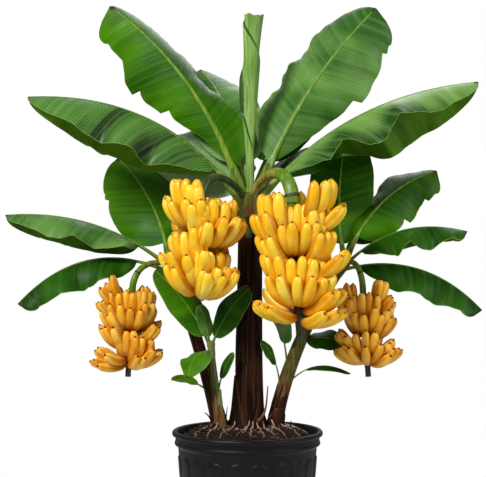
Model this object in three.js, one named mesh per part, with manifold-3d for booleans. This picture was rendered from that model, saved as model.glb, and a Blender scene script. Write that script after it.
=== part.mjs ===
// A fruiting banana plant in a ribbed nursery pot: a clump of one main stem, a younger stem each side
// and a small green sucker, with two large and two small bunches of bananas hanging from arched stalks.
// Millimetres, +Z up. The origin is the centre of the pot's flat underside, -Y is the plant's front.
// Bearings are degrees anticlockwise from +X seen from above, so 270 points to the front.
import * as THREE from "three";
import { mergeVertices } from "three/addons/utils/BufferGeometryUtils.js";
import Module from "manifold-3d";

const wasm = await Module();
wasm.setup();
const { Manifold, Mesh: SolidMesh } = wasm;

const GAP = 0.3; // the clear space between two neighbouring pieces
const UP = new THREE.Vector3(0, 0, 1);
const { degToRad, lerp, clamp } = THREE.MathUtils;

// The pot: a thin shell with a rolled rim, a collar, a groove under it and arched flutes down its wall.
const POT = {
  height: 385,
  rimRadius: 220,
  rimTall: 15,
  collarRadius: 211,
  collarTall: 25,
  grooveRadius: 205,
  grooveTall: 5,
  wallRadius: 202,
  footRadius: 176,
  thick: 5,
  floor: 6,
  flutes: 20,
  fluteDepth: 3,
  fluteTop: 318,
  fluteArch: 14,
  fluteFoot: 12,
};

const INNER_STEP = 4; // how far below the groove the pot's inside starts to widen

// The potting mix: a plug with a low mound whose flat top carries the stems.
const SOIL = { edgeHeight: 364, topHeight: 392, topRadius: 132, back: 26, sides: 30 };

// The stems. foot is where each stands on the mound, head is its top, bow moves its middle sideways.
const STEMS = {
  main: { foot: [3, 36], head: [8, 26, 1078], bow: [0, 0], radii: [43, 35], flare: 10, sides: 16 },
  left: { foot: [-82, 52], head: [-232, 66, 880], bow: [10, 0], radii: [21, 19], flare: 4, sides: 10 },
  right: { foot: [79, 50], head: [290, 64, 882], bow: [-28, 0], radii: [23, 19], flare: 4, sides: 10 },
  sucker: { foot: [-72, -6], head: [-107, -14, 646], bow: [-3, 0], radii: [12, 9], flare: 3, sides: 8 },
};
const STEM_BANDS = 6;
const FLARE_REACH = 60; // the height over which a stem's flare fades by two thirds

// The rolled new leaf that stands on the main stem, with its radius from foot to tip.
const ROLLED_LEAF = { tip: [18, 20, 1600], bow: [-4, 0], radii: [11, 13, 18, 21, 24, 29], sides: 10, bands: 10 };

// Each bunch: the top and foot of its own stalk, the size of its fingers and its hands. A hand is
// [height below the top, bearing, spread, fingers in a row, rows, first elevation, last elevation].
const BUNCHES = {
  upper_left: {
    top: [-131, -128, 1046],
    foot: [-137, -130, 766],
    girth: 31,
    length: 132,
    stemRadius: 14,
    hands: [
      [36, 215, 160, 6, 2, 24, 86],
      [94, 328, 150, 6, 2, 20, 84],
      [72, 90, 110, 4, 1, 22, 84],
      [175, 218, 160, 6, 2, 12, 80],
      [228, 332, 150, 5, 2, 8, 74],
      [190, 90, 110, 4, 1, 12, 80],
      [256, 235, 200, 6, 1, -16, 44],
      [250, 80, 100, 3, 1, -10, 50],
    ],
  },
  upper_right: {
    top: [136, -150, 1042],
    foot: [152, -150, 648],
    girth: 31,
    length: 150,
    stemRadius: 16,
    hands: [
      [66, 345, 130, 5, 2, 16, 85],
      [50, 205, 100, 4, 1, 28, 88],
      [60, 85, 110, 4, 1, 24, 86],
      [120, 262, 190, 9, 2, 16, 83],
      [150, 90, 140, 5, 1, 18, 83],
      [244, 270, 190, 9, 2, 6, 78],
      [250, 90, 140, 5, 1, 8, 78],
      [322, 270, 230, 9, 1, -14, 34],
      [312, 85, 110, 4, 1, -10, 40],
    ],
  },
  lower_left: {
    top: [-334, -20, 786],
    foot: [-346, -24, 542],
    girth: 25,
    length: 105,
    stemRadius: 9,
    hands: [
      [44, 240, 190, 6, 2, 14, 78],
      [50, 70, 130, 3, 1, 14, 78],
      [112, 285, 200, 6, 2, 8, 72],
      [116, 95, 130, 3, 1, 8, 72],
      [170, 255, 200, 5, 1, 2, 66],
      [202, 270, 220, 5, 1, -16, 40],
      [188, 80, 130, 3, 1, -6, 50],
    ],
  },
  lower_right: {
    top: [335, -20, 784],
    foot: [350, -24, 542],
    girth: 25,
    length: 101,
    stemRadius: 9,
    hands: [
      [34, 290, 180, 6, 2, 18, 80],
      [40, 100, 130, 3, 1, 18, 80],
      [98, 255, 190, 6, 2, 8, 74],
      [102, 80, 130, 3, 1, 8, 74],
      [156, 280, 200, 5, 1, 0, 66],
      [196, 270, 220, 5, 1, -16, 40],
      [184, 90, 130, 3, 1, -6, 50],
    ],
  },
};
const FINGER_SIDES = 4;
const FINGER_GIRTHS = [0, 0.8, 1.12, 0]; // a finger's girth from its root to its tip, as shares
const CORE_TAPER = 0.6; // how thick a bunch's own stalk is at its foot, as a share of its top
const ROW_DROP = 0.26; // how far a hand's second row lies under its first, as a share of a finger's length
const ROW_FLATTER = 13; // how much lower, in degrees, the second row's fingers point

// The stalks that carry the bunches. Each leaves its stem at a height, heads for a point beside its
// arch's top and comes down on its bunch, with its radius at both ends. The two that arch over a wide
// gap are split at the top into a rise and a fall.
const STALKS = {
  upper_left: { stem: "main", height: 1050, rise: 84, lead: 0.42, fall: 96, radii: [10, 13], parts: 2 },
  upper_right: { stem: "main", height: 1066, rise: 92, lead: 0.34, fall: 104, radii: [11, 18], parts: 2 },
  lower_left: { stem: "left", height: 862, rise: 26, lead: 0.6, fall: 66, radii: [8, 9.5], parts: 1 },
  lower_right: { stem: "right", height: 866, rise: 26, lead: 0.6, fall: 66, radii: [7.5, 9], parts: 1 },
};
const STALK_SIDES = 8;
const STALK_BANDS = 8;
const PART_NAMES = { 1: ["_stalk"], 2: ["_stalk_rise", "_stalk_fall"] };

// The leaves. A leaf's midrib runs from its stem at a height to its tip, its middle bowed up from the
// straight line and swayed to the right, seen from the stem. width is the blade's at its widest and
// petiole the bare stalk's share of the length. roll turns the blade about its midrib, right side up,
// at its foot and at its tip, and fold turns both halves up from flat: below 0 they hang. Where the left
// and right halves differ, it is a pair. Each row ends with its stalk's girth and, where the widest place
// lies towards the tip, a skew over 1.
const LEAVES = [
  ["main_upper_left", "main", 1052, [-410, 100, 1636], 60, 0, 312, 0.24, [60, 58], [-42, -51], 24, 1.7],
  ["main_upper_right", "main", 1060, [384, 100, 1630], 38, 0, 312, 0.22, [-62, -58], -34, 24, 1.7],
  ["main_arch_left", "main", 1040, [-640, 0, 1354], 100, 0, 322, 0.17, [-4, -8], [-46, -66], 22],
  ["main_arch_right", "main", 1046, [672, 0, 1398], 80, 0, 326, 0.15, [10, 8], [-64, -27], 22],
  ["main_back_left", "main", 1064, [-148, 350, 1477], 60, 0, 250, 0.2, [20, 10], -16, 22],
  ["main_pale_left", "main", 1030, [-337, 300, 1298], 70, 0, 256, 0.16, [46, 38], -12, 22],
  ["main_back_right", "main", 1056, [298, 420, 1518], 60, 0, 220, 0.2, [-12, -12], -16, 22],
  ["main_droop_back", "main", 1048, [-170, 600, 1150], 130, 0, 240, 0.18, [0, 0], -30, 22],
  ["main_droop_right", "main", 1040, [370, 520, 1186], 110, 0, 220, 0.18, [0, 0], -30, 20],
  ["main_low_right", "main", 1020, [150, 150, 950], 90, 0, 130, 0.2, [-30, -10], -24, 16],
  ["left_oval", "left", 874, [-402, 260, 1191], 16, 30, 268, 0.16, [30, 28], -10, 18],
  ["left_outer", "left", 862, [-705, 0, 1010], 50, 0, 200, 0.2, [-12, -12], -44, 18],
  ["left_low", "left", 842, [-669, 0, 751], 83, 0, 190, 0.2, [0, 0], -50, 18],
  ["left_back", "left", 868, [-190, 460, 1076], 70, 0, 190, 0.18, [10, 0], -24, 18],
  ["right_oval", "right", 876, [316, 200, 1290], 10, -24, 208, 0.12, [0, 0], -8, 18],
  ["right_upper", "right", 868, [574, 160, 1147], 52, 0, 206, 0.2, [-46, -46], -36, 18],
  ["right_outer", "right", 862, [640, 0, 962], 54, 0, 170, 0.2, [0, 0], -30, 16],
  ["right_low", "right", 850, [683, 0, 733], 55, 0, 190, 0.14, [0, 0], -50, 16],
  ["right_back", "right", 866, [470, 440, 1010], 70, 0, 190, 0.18, [-10, 0], -24, 18],
  ["sucker_left", "sucker", 630, [-268, -24, 850], 16, 0, 104, 0.12, [60, 60], -14, 9],
  ["sucker_up", "sucker", 640, [-141, -30, 752], 6, 0, 52, 0.14, [80, 80], -10, 8],
  ["sucker_right", "sucker", 636, [8, -46, 800], 14, 0, 64, 0.12, [-56, -56], -12, 9],
  ["sucker_front", "sucker", 616, [-170, -84, 545], 26, 0, 108, 0.12, [0, 0], -12, 9],
  ["sucker_low", "sucker", 500, [-40, -36, 612], 8, 0, 32, 0.3, [-80, -80], -8, 7],
  ["left_foot", "left", 492, [-222, 4, 530], 12, 0, 26, 0.34, [20, 20], -20, 8],
  ["right_foot_up", "right", 560, [106, -6, 760], 10, 0, 84, 0.2, [20, 20], -8, 9],
  ["right_foot_side", "right", 640, [274, 0, 628], 22, 0, 84, 0.16, [-20, -20], -30, 8],
  ["right_foot_in", "right", 490, [38, -26, 642], 10, 0, 42, 0.3, [80, 80], -10, 8],
  ["right_foot_out", "right", 520, [300, 0, 548], 34, 0, 40, 0.3, [0, 0], -40, 8],
].map(([name, stem, height, tip, bow, sway, width, petiole, roll, fold, stalk, skew = 0.92]) => ({
  name,
  stem,
  height,
  tip: new THREE.Vector3(...tip),
  bow,
  sway,
  width,
  petiole,
  roll,
  folds: Array.isArray(fold) ? fold : [fold, fold],
  stalk,
  skew,
}));
const LARGE_BLADE = 120; // a blade wider than this has the more faces
const BLADE_FACES = { large: [4, 6], small: [2, 5] }; // faces across a blade and along it
const PETIOLE_STEPS = 2;
const BLADE_THICK = 0.01; // a blade's thickness as a share of its leaf's length
const BLADE_BLUNT = 0.42; // the lower, the blunter a blade's ends
const TIP_WIDTH = 3;

const COLOURS = {
  pot: [0x16181a, 0.42],
  soil: [0x2e1d12, 0.95],
  stem: [0x4a2e1c, 0.7],
  sucker: [0x7c9a3c, 0.5],
  stalk: [0x5f8a2c, 0.45],
  fruit: [0xf2b21a, 0.45],
  leaf: [0x2f6b2a, 0.4],
  newLeaf: [0x6fa23c, 0.45],
};

// A number from 0 to 1 that looks random and depends on the seed alone.
function chance(seed) {
  const spread = Math.sin(seed * 78.233) * 43758.5453;
  return spread - Math.floor(spread);
}

// The value at a share of the way along a list of evenly spaced values.
function along(values, share) {
  const place = clamp(share, 0, 1) * (values.length - 1);
  const step = Math.min(Math.floor(place), values.length - 2);
  return lerp(values[step], values[step + 1], place - step);
}

// A closed geometry as a solid, with its shared corners merged and its collapsed faces dropped.
function solid(geometry) {
  geometry.deleteAttribute("normal");
  geometry.deleteAttribute("uv");
  const joined = mergeVertices(geometry, 1e-3);
  const corners = joined.index.array;
  const kept = [];
  for (let i = 0; i < corners.length; i += 3) {
    const [a, b, c] = corners.slice(i, i + 3);
    if (a !== b && b !== c && c !== a) kept.push(a, b, c);
  }
  const vertProperties = new Float32Array(joined.attributes.position.array);
  return new Manifold(new SolidMesh({ numProp: 3, vertProperties, triVerts: new Uint32Array(kept) }));
}

// A closed geometry of unit height whose every corner is moved to place(x, share of the height, z).
function bent(shape, place) {
  const spots = shape.attributes.position;
  for (let i = 0; i < spots.count; i++) {
    const spot = place(spots.getX(i), spots.getY(i) + 0.5, spots.getZ(i));
    spots.setXYZ(i, spot.x, spot.y, spot.z);
  }
  return solid(shape);
}

// A round limb along a curve, its radius a function of the share of the way, grown all over by extra.
// It has the asked count of the curve's bands, from the band called first.
function limb(curve, radius, { sides, bands, first = 0, count = bands, extra = 0 }) {
  const frames = curve.computeFrenetFrames(bands);
  return bent(new THREE.CylinderGeometry(1, 1, 1, sides, count), (x, share, z) => {
    const band = first + Math.round(share * count);
    const reach = radius(band / bands) + extra;
    const past = share === 0 ? -extra : share === 1 ? extra : 0;
    return curve
      .getPointAt(band / bands)
      .addScaledVector(frames.normals[band], x * reach)
      .addScaledVector(frames.binormals[band], -z * reach)
      .addScaledVector(frames.tangents[band], past);
  });
}

// The pot's shell, turned from its profile, with the flutes pressed into its wall.
function pot() {
  const { height, rimRadius, rimTall, collarRadius, collarTall, grooveRadius, grooveTall } = POT;
  const { wallRadius, footRadius, thick, floor, fluteDepth, fluteTop, fluteArch, fluteFoot } = POT;
  const collarFoot = height - rimTall - collarTall;
  const wallTop = collarFoot - grooveTall;
  const outside = [
    [0, 0],
    [footRadius, 0],
    [lerp(footRadius, wallRadius, fluteFoot / wallTop), fluteFoot],
    [lerp(footRadius, wallRadius, (fluteTop - fluteArch) / wallTop), fluteTop - fluteArch],
    [lerp(footRadius, wallRadius, fluteTop / wallTop), fluteTop],
    [wallRadius, wallTop],
    [grooveRadius, collarFoot],
    [collarRadius, collarFoot + 2],
    [collarRadius, height - rimTall],
    [rimRadius, height - rimTall + 3],
    [rimRadius, height - 4],
    [rimRadius - 4, height],
  ];
  const inside = [
    [collarRadius - thick, height],
    [wallRadius - thick - fluteDepth, wallTop - INNER_STEP],
    [footRadius - thick - fluteDepth, floor],
    [0, floor],
  ];
  const profile = [...outside, ...inside].map(([r, z]) => new THREE.Vector2(r, z));
  const shell = new THREE.LatheGeometry(profile, 2 * POT.flutes).rotateX(Math.PI / 2);
  const spots = shell.attributes.position;
  for (let i = 0; i < spots.count; i++) {
    const [x, y, z] = [spots.getX(i), spots.getY(i), spots.getZ(i)];
    const radius = Math.hypot(x, y);
    const onWall = z > fluteFoot - 1 && z < fluteTop - fluteArch + 1 && radius > footRadius - 1;
    const turn = Math.round((Math.atan2(y, x) / Math.PI) * POT.flutes);
    if (!onWall || turn % 2 !== 0) continue;
    const pressed = 1 - fluteDepth / radius;
    spots.setXYZ(i, x * pressed, y * pressed, z);
  }
  return solid(shell);
}

// The potting mix, whose mound lies towards the back, where the stems stand.
function soil() {
  const { edgeHeight, topHeight, topRadius, back, sides } = SOIL;
  const inset = POT.thick + POT.fluteDepth + 4 * GAP;
  const wallTop = POT.height - POT.rimTall - POT.collarTall - POT.grooveTall - INNER_STEP;
  const edgeRadius = lerp(POT.wallRadius, POT.collarRadius, (edgeHeight - wallTop) / (POT.height - wallTop));
  const profile = [
    [0, POT.floor + GAP],
    [POT.footRadius - inset, POT.floor + GAP],
    [POT.wallRadius - inset, wallTop],
    [edgeRadius - inset, edgeHeight],
    [lerp(edgeRadius - inset, topRadius, 0.6), lerp(edgeHeight, topHeight, 0.72)],
    [topRadius, topHeight],
    [0, topHeight],
  ].map(([r, z]) => new THREE.Vector2(r, z));
  const plug = new THREE.LatheGeometry(profile, sides).rotateX(Math.PI / 2);
  const spots = plug.attributes.position;
  for (let i = 0; i < spots.count; i++) {
    if (spots.getZ(i) > topHeight - 1) spots.setY(i, spots.getY(i) + back);
  }
  return solid(plug);
}

// A stem's centre line. Its height grows evenly, so a share of the curve is that share of the height.
function stemCurve({ foot, head, bow }) {
  const start = new THREE.Vector3(...foot, SOIL.topHeight);
  const end = new THREE.Vector3(...head);
  const middle = start.clone().lerp(end, 0.5);
  middle.add(new THREE.Vector3(2 * bow[0], 2 * bow[1], 0));
  return new THREE.QuadraticBezierCurve3(start, middle, end);
}

const stemShare = (stem, height) => (height - SOIL.topHeight) / (stem.head[2] - SOIL.topHeight);

function stemRadius(stem, height) {
  const share = clamp(stemShare(stem, height), 0, 1);
  const above = Math.max(height - SOIL.topHeight, 0);
  return lerp(stem.radii[0], stem.radii[1], share) + stem.flare * Math.exp(-above / FLARE_REACH);
}

// A stem, its foot cut flat on the mound. Its bands crowd towards the flare.
function stemSolid(stem, extra = 0) {
  const curve = stemCurve(stem);
  const tall = stem.head[2] - SOIL.topHeight;
  return bent(new THREE.CylinderGeometry(1, 1, 1, stem.sides, STEM_BANDS), (x, share, z) => {
    const up = share ** 1.7;
    const centre = curve.getPoint(up);
    const reach = stemRadius(stem, SOIL.topHeight + up * tall) + extra;
    const lift = share === 0 ? GAP - extra : share === 1 ? extra : 0;
    return centre.add(new THREE.Vector3(x * reach, -z * reach, lift));
  });
}

// The point on a stem at a height, moved towards a target by a share of the stem's radius.
function stemPoint(stem, height, target, share) {
  const centre = stemCurve(stem).getPoint(clamp(stemShare(stem, height), 0, 1));
  const outward = new THREE.Vector3(target.x - centre.x, target.y - centre.y, 0).normalize();
  return centre.addScaledVector(outward, share * stemRadius(stem, height));
}

// The rolled leaf's line from the top of the main stem to its tip.
function rolledLeaf(extra = 0) {
  const foot = new THREE.Vector3(...STEMS.main.head).addScaledVector(UP, GAP);
  const tip = new THREE.Vector3(...ROLLED_LEAF.tip);
  const middle = foot.clone().lerp(tip, 0.5);
  middle.add(new THREE.Vector3(2 * ROLLED_LEAF.bow[0], 2 * ROLLED_LEAF.bow[1], 0));
  const curve = new THREE.QuadraticBezierCurve3(foot, middle, tip);
  const { radii, sides, bands } = ROLLED_LEAF;
  return limb(curve, (share) => along(radii, share), { sides, bands, extra });
}

// One of the parts, counted from 0, of the stalk that arches from a stem over to the top of a bunch.
function stalk(name, part, extra = 0) {
  const { stem, height, rise, lead, fall, radii, parts } = STALKS[name];
  const end = new THREE.Vector3(...BUNCHES[name].top).addScaledVector(UP, GAP);
  const start = stemPoint(STEMS[stem], height, end, 0.3);
  const over = start.clone().lerp(end, lead);
  over.z = start.z + rise;
  const down = end.clone().addScaledVector(UP, fall);
  const curve = new THREE.CubicBezierCurve3(start, over, down, end);
  const count = STALK_BANDS / parts;
  const cut = { sides: STALK_SIDES, bands: STALK_BANDS, first: part * count, count, extra };
  return limb(curve, (share) => lerp(radii[0], radii[1], share), cut);
}

// One banana: an arc in the upright plane of its bearing, from its root on the bunch's own stalk.
function finger(root, bearing, length, first, last, girth) {
  const outward = new THREE.Vector3(Math.cos(bearing), Math.sin(bearing), 0);
  const sideways = new THREE.Vector3(-Math.sin(bearing), Math.cos(bearing), 0);
  const turn = last - first;
  const bands = FINGER_GIRTHS.length - 1;
  const shape = new THREE.CylinderGeometry(1, 1, 1, FINGER_SIDES, bands);
  return bent(shape, (x, share, z) => {
    const lift = first + turn * share;
    const reach = (length * (Math.sin(lift) - Math.sin(first))) / turn;
    const rise = (length * (Math.cos(first) - Math.cos(lift))) / turn;
    const radius = (girth / 2) * along(FINGER_GIRTHS, share);
    return root
      .clone()
      .addScaledVector(outward, reach + z * radius * Math.sin(lift))
      .addScaledVector(sideways, x * radius)
      .addScaledVector(UP, rise - z * radius * Math.cos(lift));
  });
}

// A bunch: its own stalk with all its hands of fingers fused on.
function bunch({ top, foot, girth, length, stemRadius: radius, hands }) {
  const start = new THREE.Vector3(...top);
  const end = new THREE.Vector3(...foot);
  const tall = start.z - end.z;
  const line = new THREE.LineCurve3(start, end);
  const core = limb(line, (share) => radius * lerp(1, CORE_TAPER, share), { sides: STALK_SIDES, bands: 1 });
  const parts = [core];
  hands.forEach(([below, bearing, spread, count, rows, first, last], hand) => {
    for (let row = 0; row < rows; row++) {
      const drop = below + row * ROW_DROP * length;
      const centre = start.clone().lerp(end, drop / tall);
      for (let i = 0; i < count; i++) {
        const seed = hand * 100 + row * 30 + i + start.x;
        const place = (i + 0.25 + 0.5 * (row % 2)) / count - 0.5;
        const turned = degToRad(bearing + spread * place + 3 * (chance(seed) - 0.5));
        const out = new THREE.Vector3(Math.cos(turned), Math.sin(turned), 0);
        const root = centre.clone().addScaledVector(out, 0.5 * radius);
        const long = length * (0.94 + 0.12 * chance(seed + 0.3)) + 0.5 * radius;
        const flatter = row * ROW_FLATTER + 6 * (chance(seed + 0.6) - 0.5);
        parts.push(finger(root, turned, long, degToRad(first - flatter), degToRad(last - flatter), girth));
      }
    }
  });
  return Manifold.union(parts);
}

// The midrib of a leaf, from inside its stem's surface to its tip.
function midrib({ stem, height, tip, bow, sway }) {
  const foot = stemPoint(STEMS[stem], height, tip, 0.55);
  const chord = tip.clone().sub(foot);
  const right = new THREE.Vector3().crossVectors(chord, UP).normalize();
  const above = new THREE.Vector3().crossVectors(right, chord).normalize();
  const middle = foot.clone().lerp(tip, 0.5);
  middle.addScaledVector(above, 2 * bow).addScaledVector(right, 2 * sway);
  return new THREE.QuadraticBezierCurve3(foot, middle, tip);
}

// Half a leaf's width at a share of its blade: round at its base and its tip.
function halfWidth({ width, stalk: girth, skew }, share) {
  const oval = Math.sin(Math.PI * clamp(share, 0, 1) ** skew) ** BLADE_BLUNT;
  return Math.max((width / 2) * oval, (girth / 2) * (1 - share), TIP_WIDTH / 2);
}

// A leaf's stalk and blade as one thin solid, with its two halves folded along the midrib.
function leafSolid(leaf, extra = 0) {
  const rib = midrib(leaf);
  const [lanes, bladeSteps] = leaf.width > LARGE_BLADE ? BLADE_FACES.large : BLADE_FACES.small;
  const steps = PETIOLE_STEPS + bladeSteps;
  const thin = BLADE_THICK * rib.getLength();
  return bent(new THREE.BoxGeometry(2, 1, 2, lanes, steps), (across, share, face) => {
    const step = Math.round(share * steps);
    const bladeStep = Math.max(step - PETIOLE_STEPS, 0);
    const blade = (1 - Math.cos((Math.PI * bladeStep) / bladeSteps)) / 2;
    const bare = leaf.petiole * Math.min(step / PETIOLE_STEPS, 1);
    const place = bare + (1 - leaf.petiole) * blade;
    const onBlade = bladeStep > 0;
    const tangent = rib.getTangent(place);
    const flat = new THREE.Vector3().crossVectors(tangent, UP).normalize();
    const roll = degToRad(lerp(leaf.roll[0], leaf.roll[1], place));
    const right = flat.applyAxisAngle(tangent, -roll);
    const normal = new THREE.Vector3().crossVectors(right, tangent);
    const side = Math.sign(across);
    const fold = onBlade ? degToRad(lerp(...leaf.folds, (side + 1) / 2)) : 0;
    const reach = (onBlade ? halfWidth(leaf, blade) : leaf.stalk / 2) + extra;
    const thick = onBlade ? thin : Math.max(lerp(leaf.stalk, thin, step / PETIOLE_STEPS / 2), thin);
    const deep = face * (thick / 2 + extra) * (side === 0 ? 1 / Math.cos(fold) : 1);
    const past = step === steps ? extra : 0;
    return rib
      .getPoint(place)
      .addScaledVector(tangent, past)
      .addScaledVector(right, across * reach * Math.cos(fold) - side * deep * Math.sin(fold))
      .addScaledVector(normal, Math.abs(across) * reach * Math.sin(fold))
      .addScaledVector(normal, deep * (side === 0 ? 1 : Math.cos(fold)));
  });
}

const plant = new THREE.Group();
const neighbours = [];

// Adds a piece cut clear of those already there, as their largest remaining body. grown is the same
// piece with the gap all round it, which later pieces are cut with.
function add(name, [colour, roughness], piece, grown) {
  let clear = piece;
  for (const other of neighbours) clear = clear.subtract(other);
  const body = clear.decompose().reduce((most, next) => (next.volume() > most.volume() ? next : most));
  neighbours.push(grown);
  const { vertProperties, triVerts } = body.getMesh();
  const geometry = new THREE.BufferGeometry()
    .setAttribute("position", new THREE.BufferAttribute(vertProperties, 3))
    .setIndex(new THREE.BufferAttribute(triVerts, 1));
  const material = new THREE.MeshStandardMaterial({ color: colour, roughness, flatShading: true });
  const mesh = new THREE.Mesh(geometry, material);
  mesh.name = name;
  plant.add(mesh);
}

add("pot", COLOURS.pot, pot(), pot());
add("soil", COLOURS.soil, soil(), soil());
for (const [name, stem] of Object.entries(STEMS)) {
  const colour = name === "sucker" ? COLOURS.sucker : COLOURS.stem;
  add(name + "_stem", colour, stemSolid(stem), stemSolid(stem, GAP));
}
add("rolled_leaf", COLOURS.newLeaf, rolledLeaf(), rolledLeaf(GAP));
for (const [name, shape] of Object.entries(BUNCHES)) {
  PART_NAMES[STALKS[name].parts].forEach((ending, part) => {
    add(name + ending, COLOURS.stalk, stalk(name, part), stalk(name, part, GAP));
  });
  const fruit = bunch(shape);
  add(name + "_bunch", COLOURS.fruit, fruit, fruit);
}
for (const leaf of LEAVES) {
  add(leaf.name + "_leaf", COLOURS.leaf, leafSolid(leaf), leafSolid(leaf, GAP));
}

export default plant;
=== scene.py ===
import math

import bmesh
import bpy
import numpy as np
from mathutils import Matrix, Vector, noise


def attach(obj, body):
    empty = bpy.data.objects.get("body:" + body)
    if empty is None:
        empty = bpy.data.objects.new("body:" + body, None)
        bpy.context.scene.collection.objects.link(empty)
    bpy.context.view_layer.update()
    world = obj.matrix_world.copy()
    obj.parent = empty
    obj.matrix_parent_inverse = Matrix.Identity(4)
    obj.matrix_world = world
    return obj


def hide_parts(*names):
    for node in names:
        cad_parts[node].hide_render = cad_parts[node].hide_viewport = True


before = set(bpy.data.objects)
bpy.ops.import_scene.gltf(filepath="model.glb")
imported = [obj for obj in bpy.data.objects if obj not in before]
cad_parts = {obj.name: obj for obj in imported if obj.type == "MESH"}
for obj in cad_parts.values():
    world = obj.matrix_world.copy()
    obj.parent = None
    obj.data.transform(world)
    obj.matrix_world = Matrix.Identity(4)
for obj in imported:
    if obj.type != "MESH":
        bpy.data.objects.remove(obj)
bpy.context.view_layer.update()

# A fruiting banana plant in a nursery pot. Shapes are worked out in millimetres, +Z up, from the middle
# of the pot's underside, with -Y to the plant's front, and become metres when a piece is made.

# The pot. One thin shell of black polyethylene, blow-moulded: a rolled rim, a collar that ends in a
# bead, and a tapering wall stiffened by raised round-topped flutes. It stands on its flat foot.
MM = 0.001
TURN = 2 * math.pi
POT_HEIGHT, POT_THICK, POT_FLOOR = 385, 5, 6
RIM_RADIUS, RIM_TALL = 220, 15
COLLAR_RADIUS, COLLAR_FOOT = 211, 352
GROOVE_RADIUS, WALL_TOP, WALL_RADIUS, FOOT_RADIUS = 205, 340, 202, 176
# A flute takes a share of the room for it. It rises over its edge, and a little more in its middle.
FLUTES, FLUTE_WIDE, FLUTE_TOP, FLUTE_FOOT = 20, 0.8, 317, 14
FLUTE_RAISED, FLUTE_EDGE, FLUTE_CROWN = 2.8, 4.5, 0.4
# The rings of the wall's mesh lie closer where the flutes' tops are round.
RING_APART, ARCHES_FROM, ARCH_RING_APART, FLUTE_SIDES = 8.5, 270, 1.6, 18
# A turned shape ends in a disc of this radius, and an edge sharper than so many degrees stays sharp.
HUB, SHARP = 0.5, 52
POT_BLACK, POT_DUST = (4, 5, 5), (17, 17, 16)


class Shell:
    """The faces gathered for one piece. Its points are in millimetres, each face has the number of its
    finish, and each corner of a face has a place on the finish's map."""

    def __init__(self):
        self.points, self.faces, self.finishes, self.places = [], [], [], []
        self.count = 0

    def tube(self, grid, finish=0, places=None):
        """Adds a grid of points, rows by columns, as a solid tube of quads: its last column is joined to
        its first, and its two ends are filled."""
        rows, columns = grid.shape[:2]
        if places is None:
            across, up = np.meshgrid(np.linspace(0, 1, columns + 1), np.linspace(0, 1, rows))
            places = np.stack([across, up], axis=-1)
        row, column = np.mgrid[: rows - 1, :columns]
        after = (column + 1) % columns
        corners = [row * columns + column, row * columns + after]
        corners += [(row + 1) * columns + after, (row + 1) * columns + column]
        spots = [places[row, column], places[row, column + 1]]
        spots += [places[row + 1, column + 1], places[row + 1, column]]
        kinds = np.broadcast_to(finish, row.shape)
        self.points.append(grid.reshape(-1, 3))
        self.faces += (np.stack(corners, axis=-1).reshape(-1, 4) + self.count).tolist()
        self.places.append(np.stack(spots, axis=2).reshape(-1, 2))
        self.finishes += kinds.reshape(-1).tolist()
        for end in (0, rows - 1):
            self.faces.append((np.arange(columns) + self.count + end * columns).tolist())
            self.places.append(places[end, :columns])
            self.finishes.append(int(kinds[min(end, rows - 2), 0]))
        self.count += rows * columns

    def piece(self, name, finishes, slot, *nodes):
        """Makes the piece, which rides on the plant's one body and stands for its solids."""
        mesh = bpy.data.meshes.new(name)
        mesh.from_pydata((np.concatenate(self.points) * MM).tolist(), [], self.faces)
        for finish in finishes:
            mesh.materials.append(finish)
        mesh.polygons.foreach_set("material_index", self.finishes)
        spots = mesh.uv_layers.new(name="UVMap").data
        spots.foreach_set("uv", np.concatenate(self.places).reshape(-1))
        shape = bmesh.new()
        shape.from_mesh(mesh)
        bmesh.ops.recalc_face_normals(shape, faces=shape.faces)
        shape.to_mesh(mesh)
        shape.free()
        mesh.shade_smooth()
        mesh.set_sharp_from_angle(angle=math.radians(SHARP))
        made = bpy.data.objects.new(name, mesh)
        bpy.context.scene.collection.objects.link(made)
        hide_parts(*nodes)
        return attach(made, "root")


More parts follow.
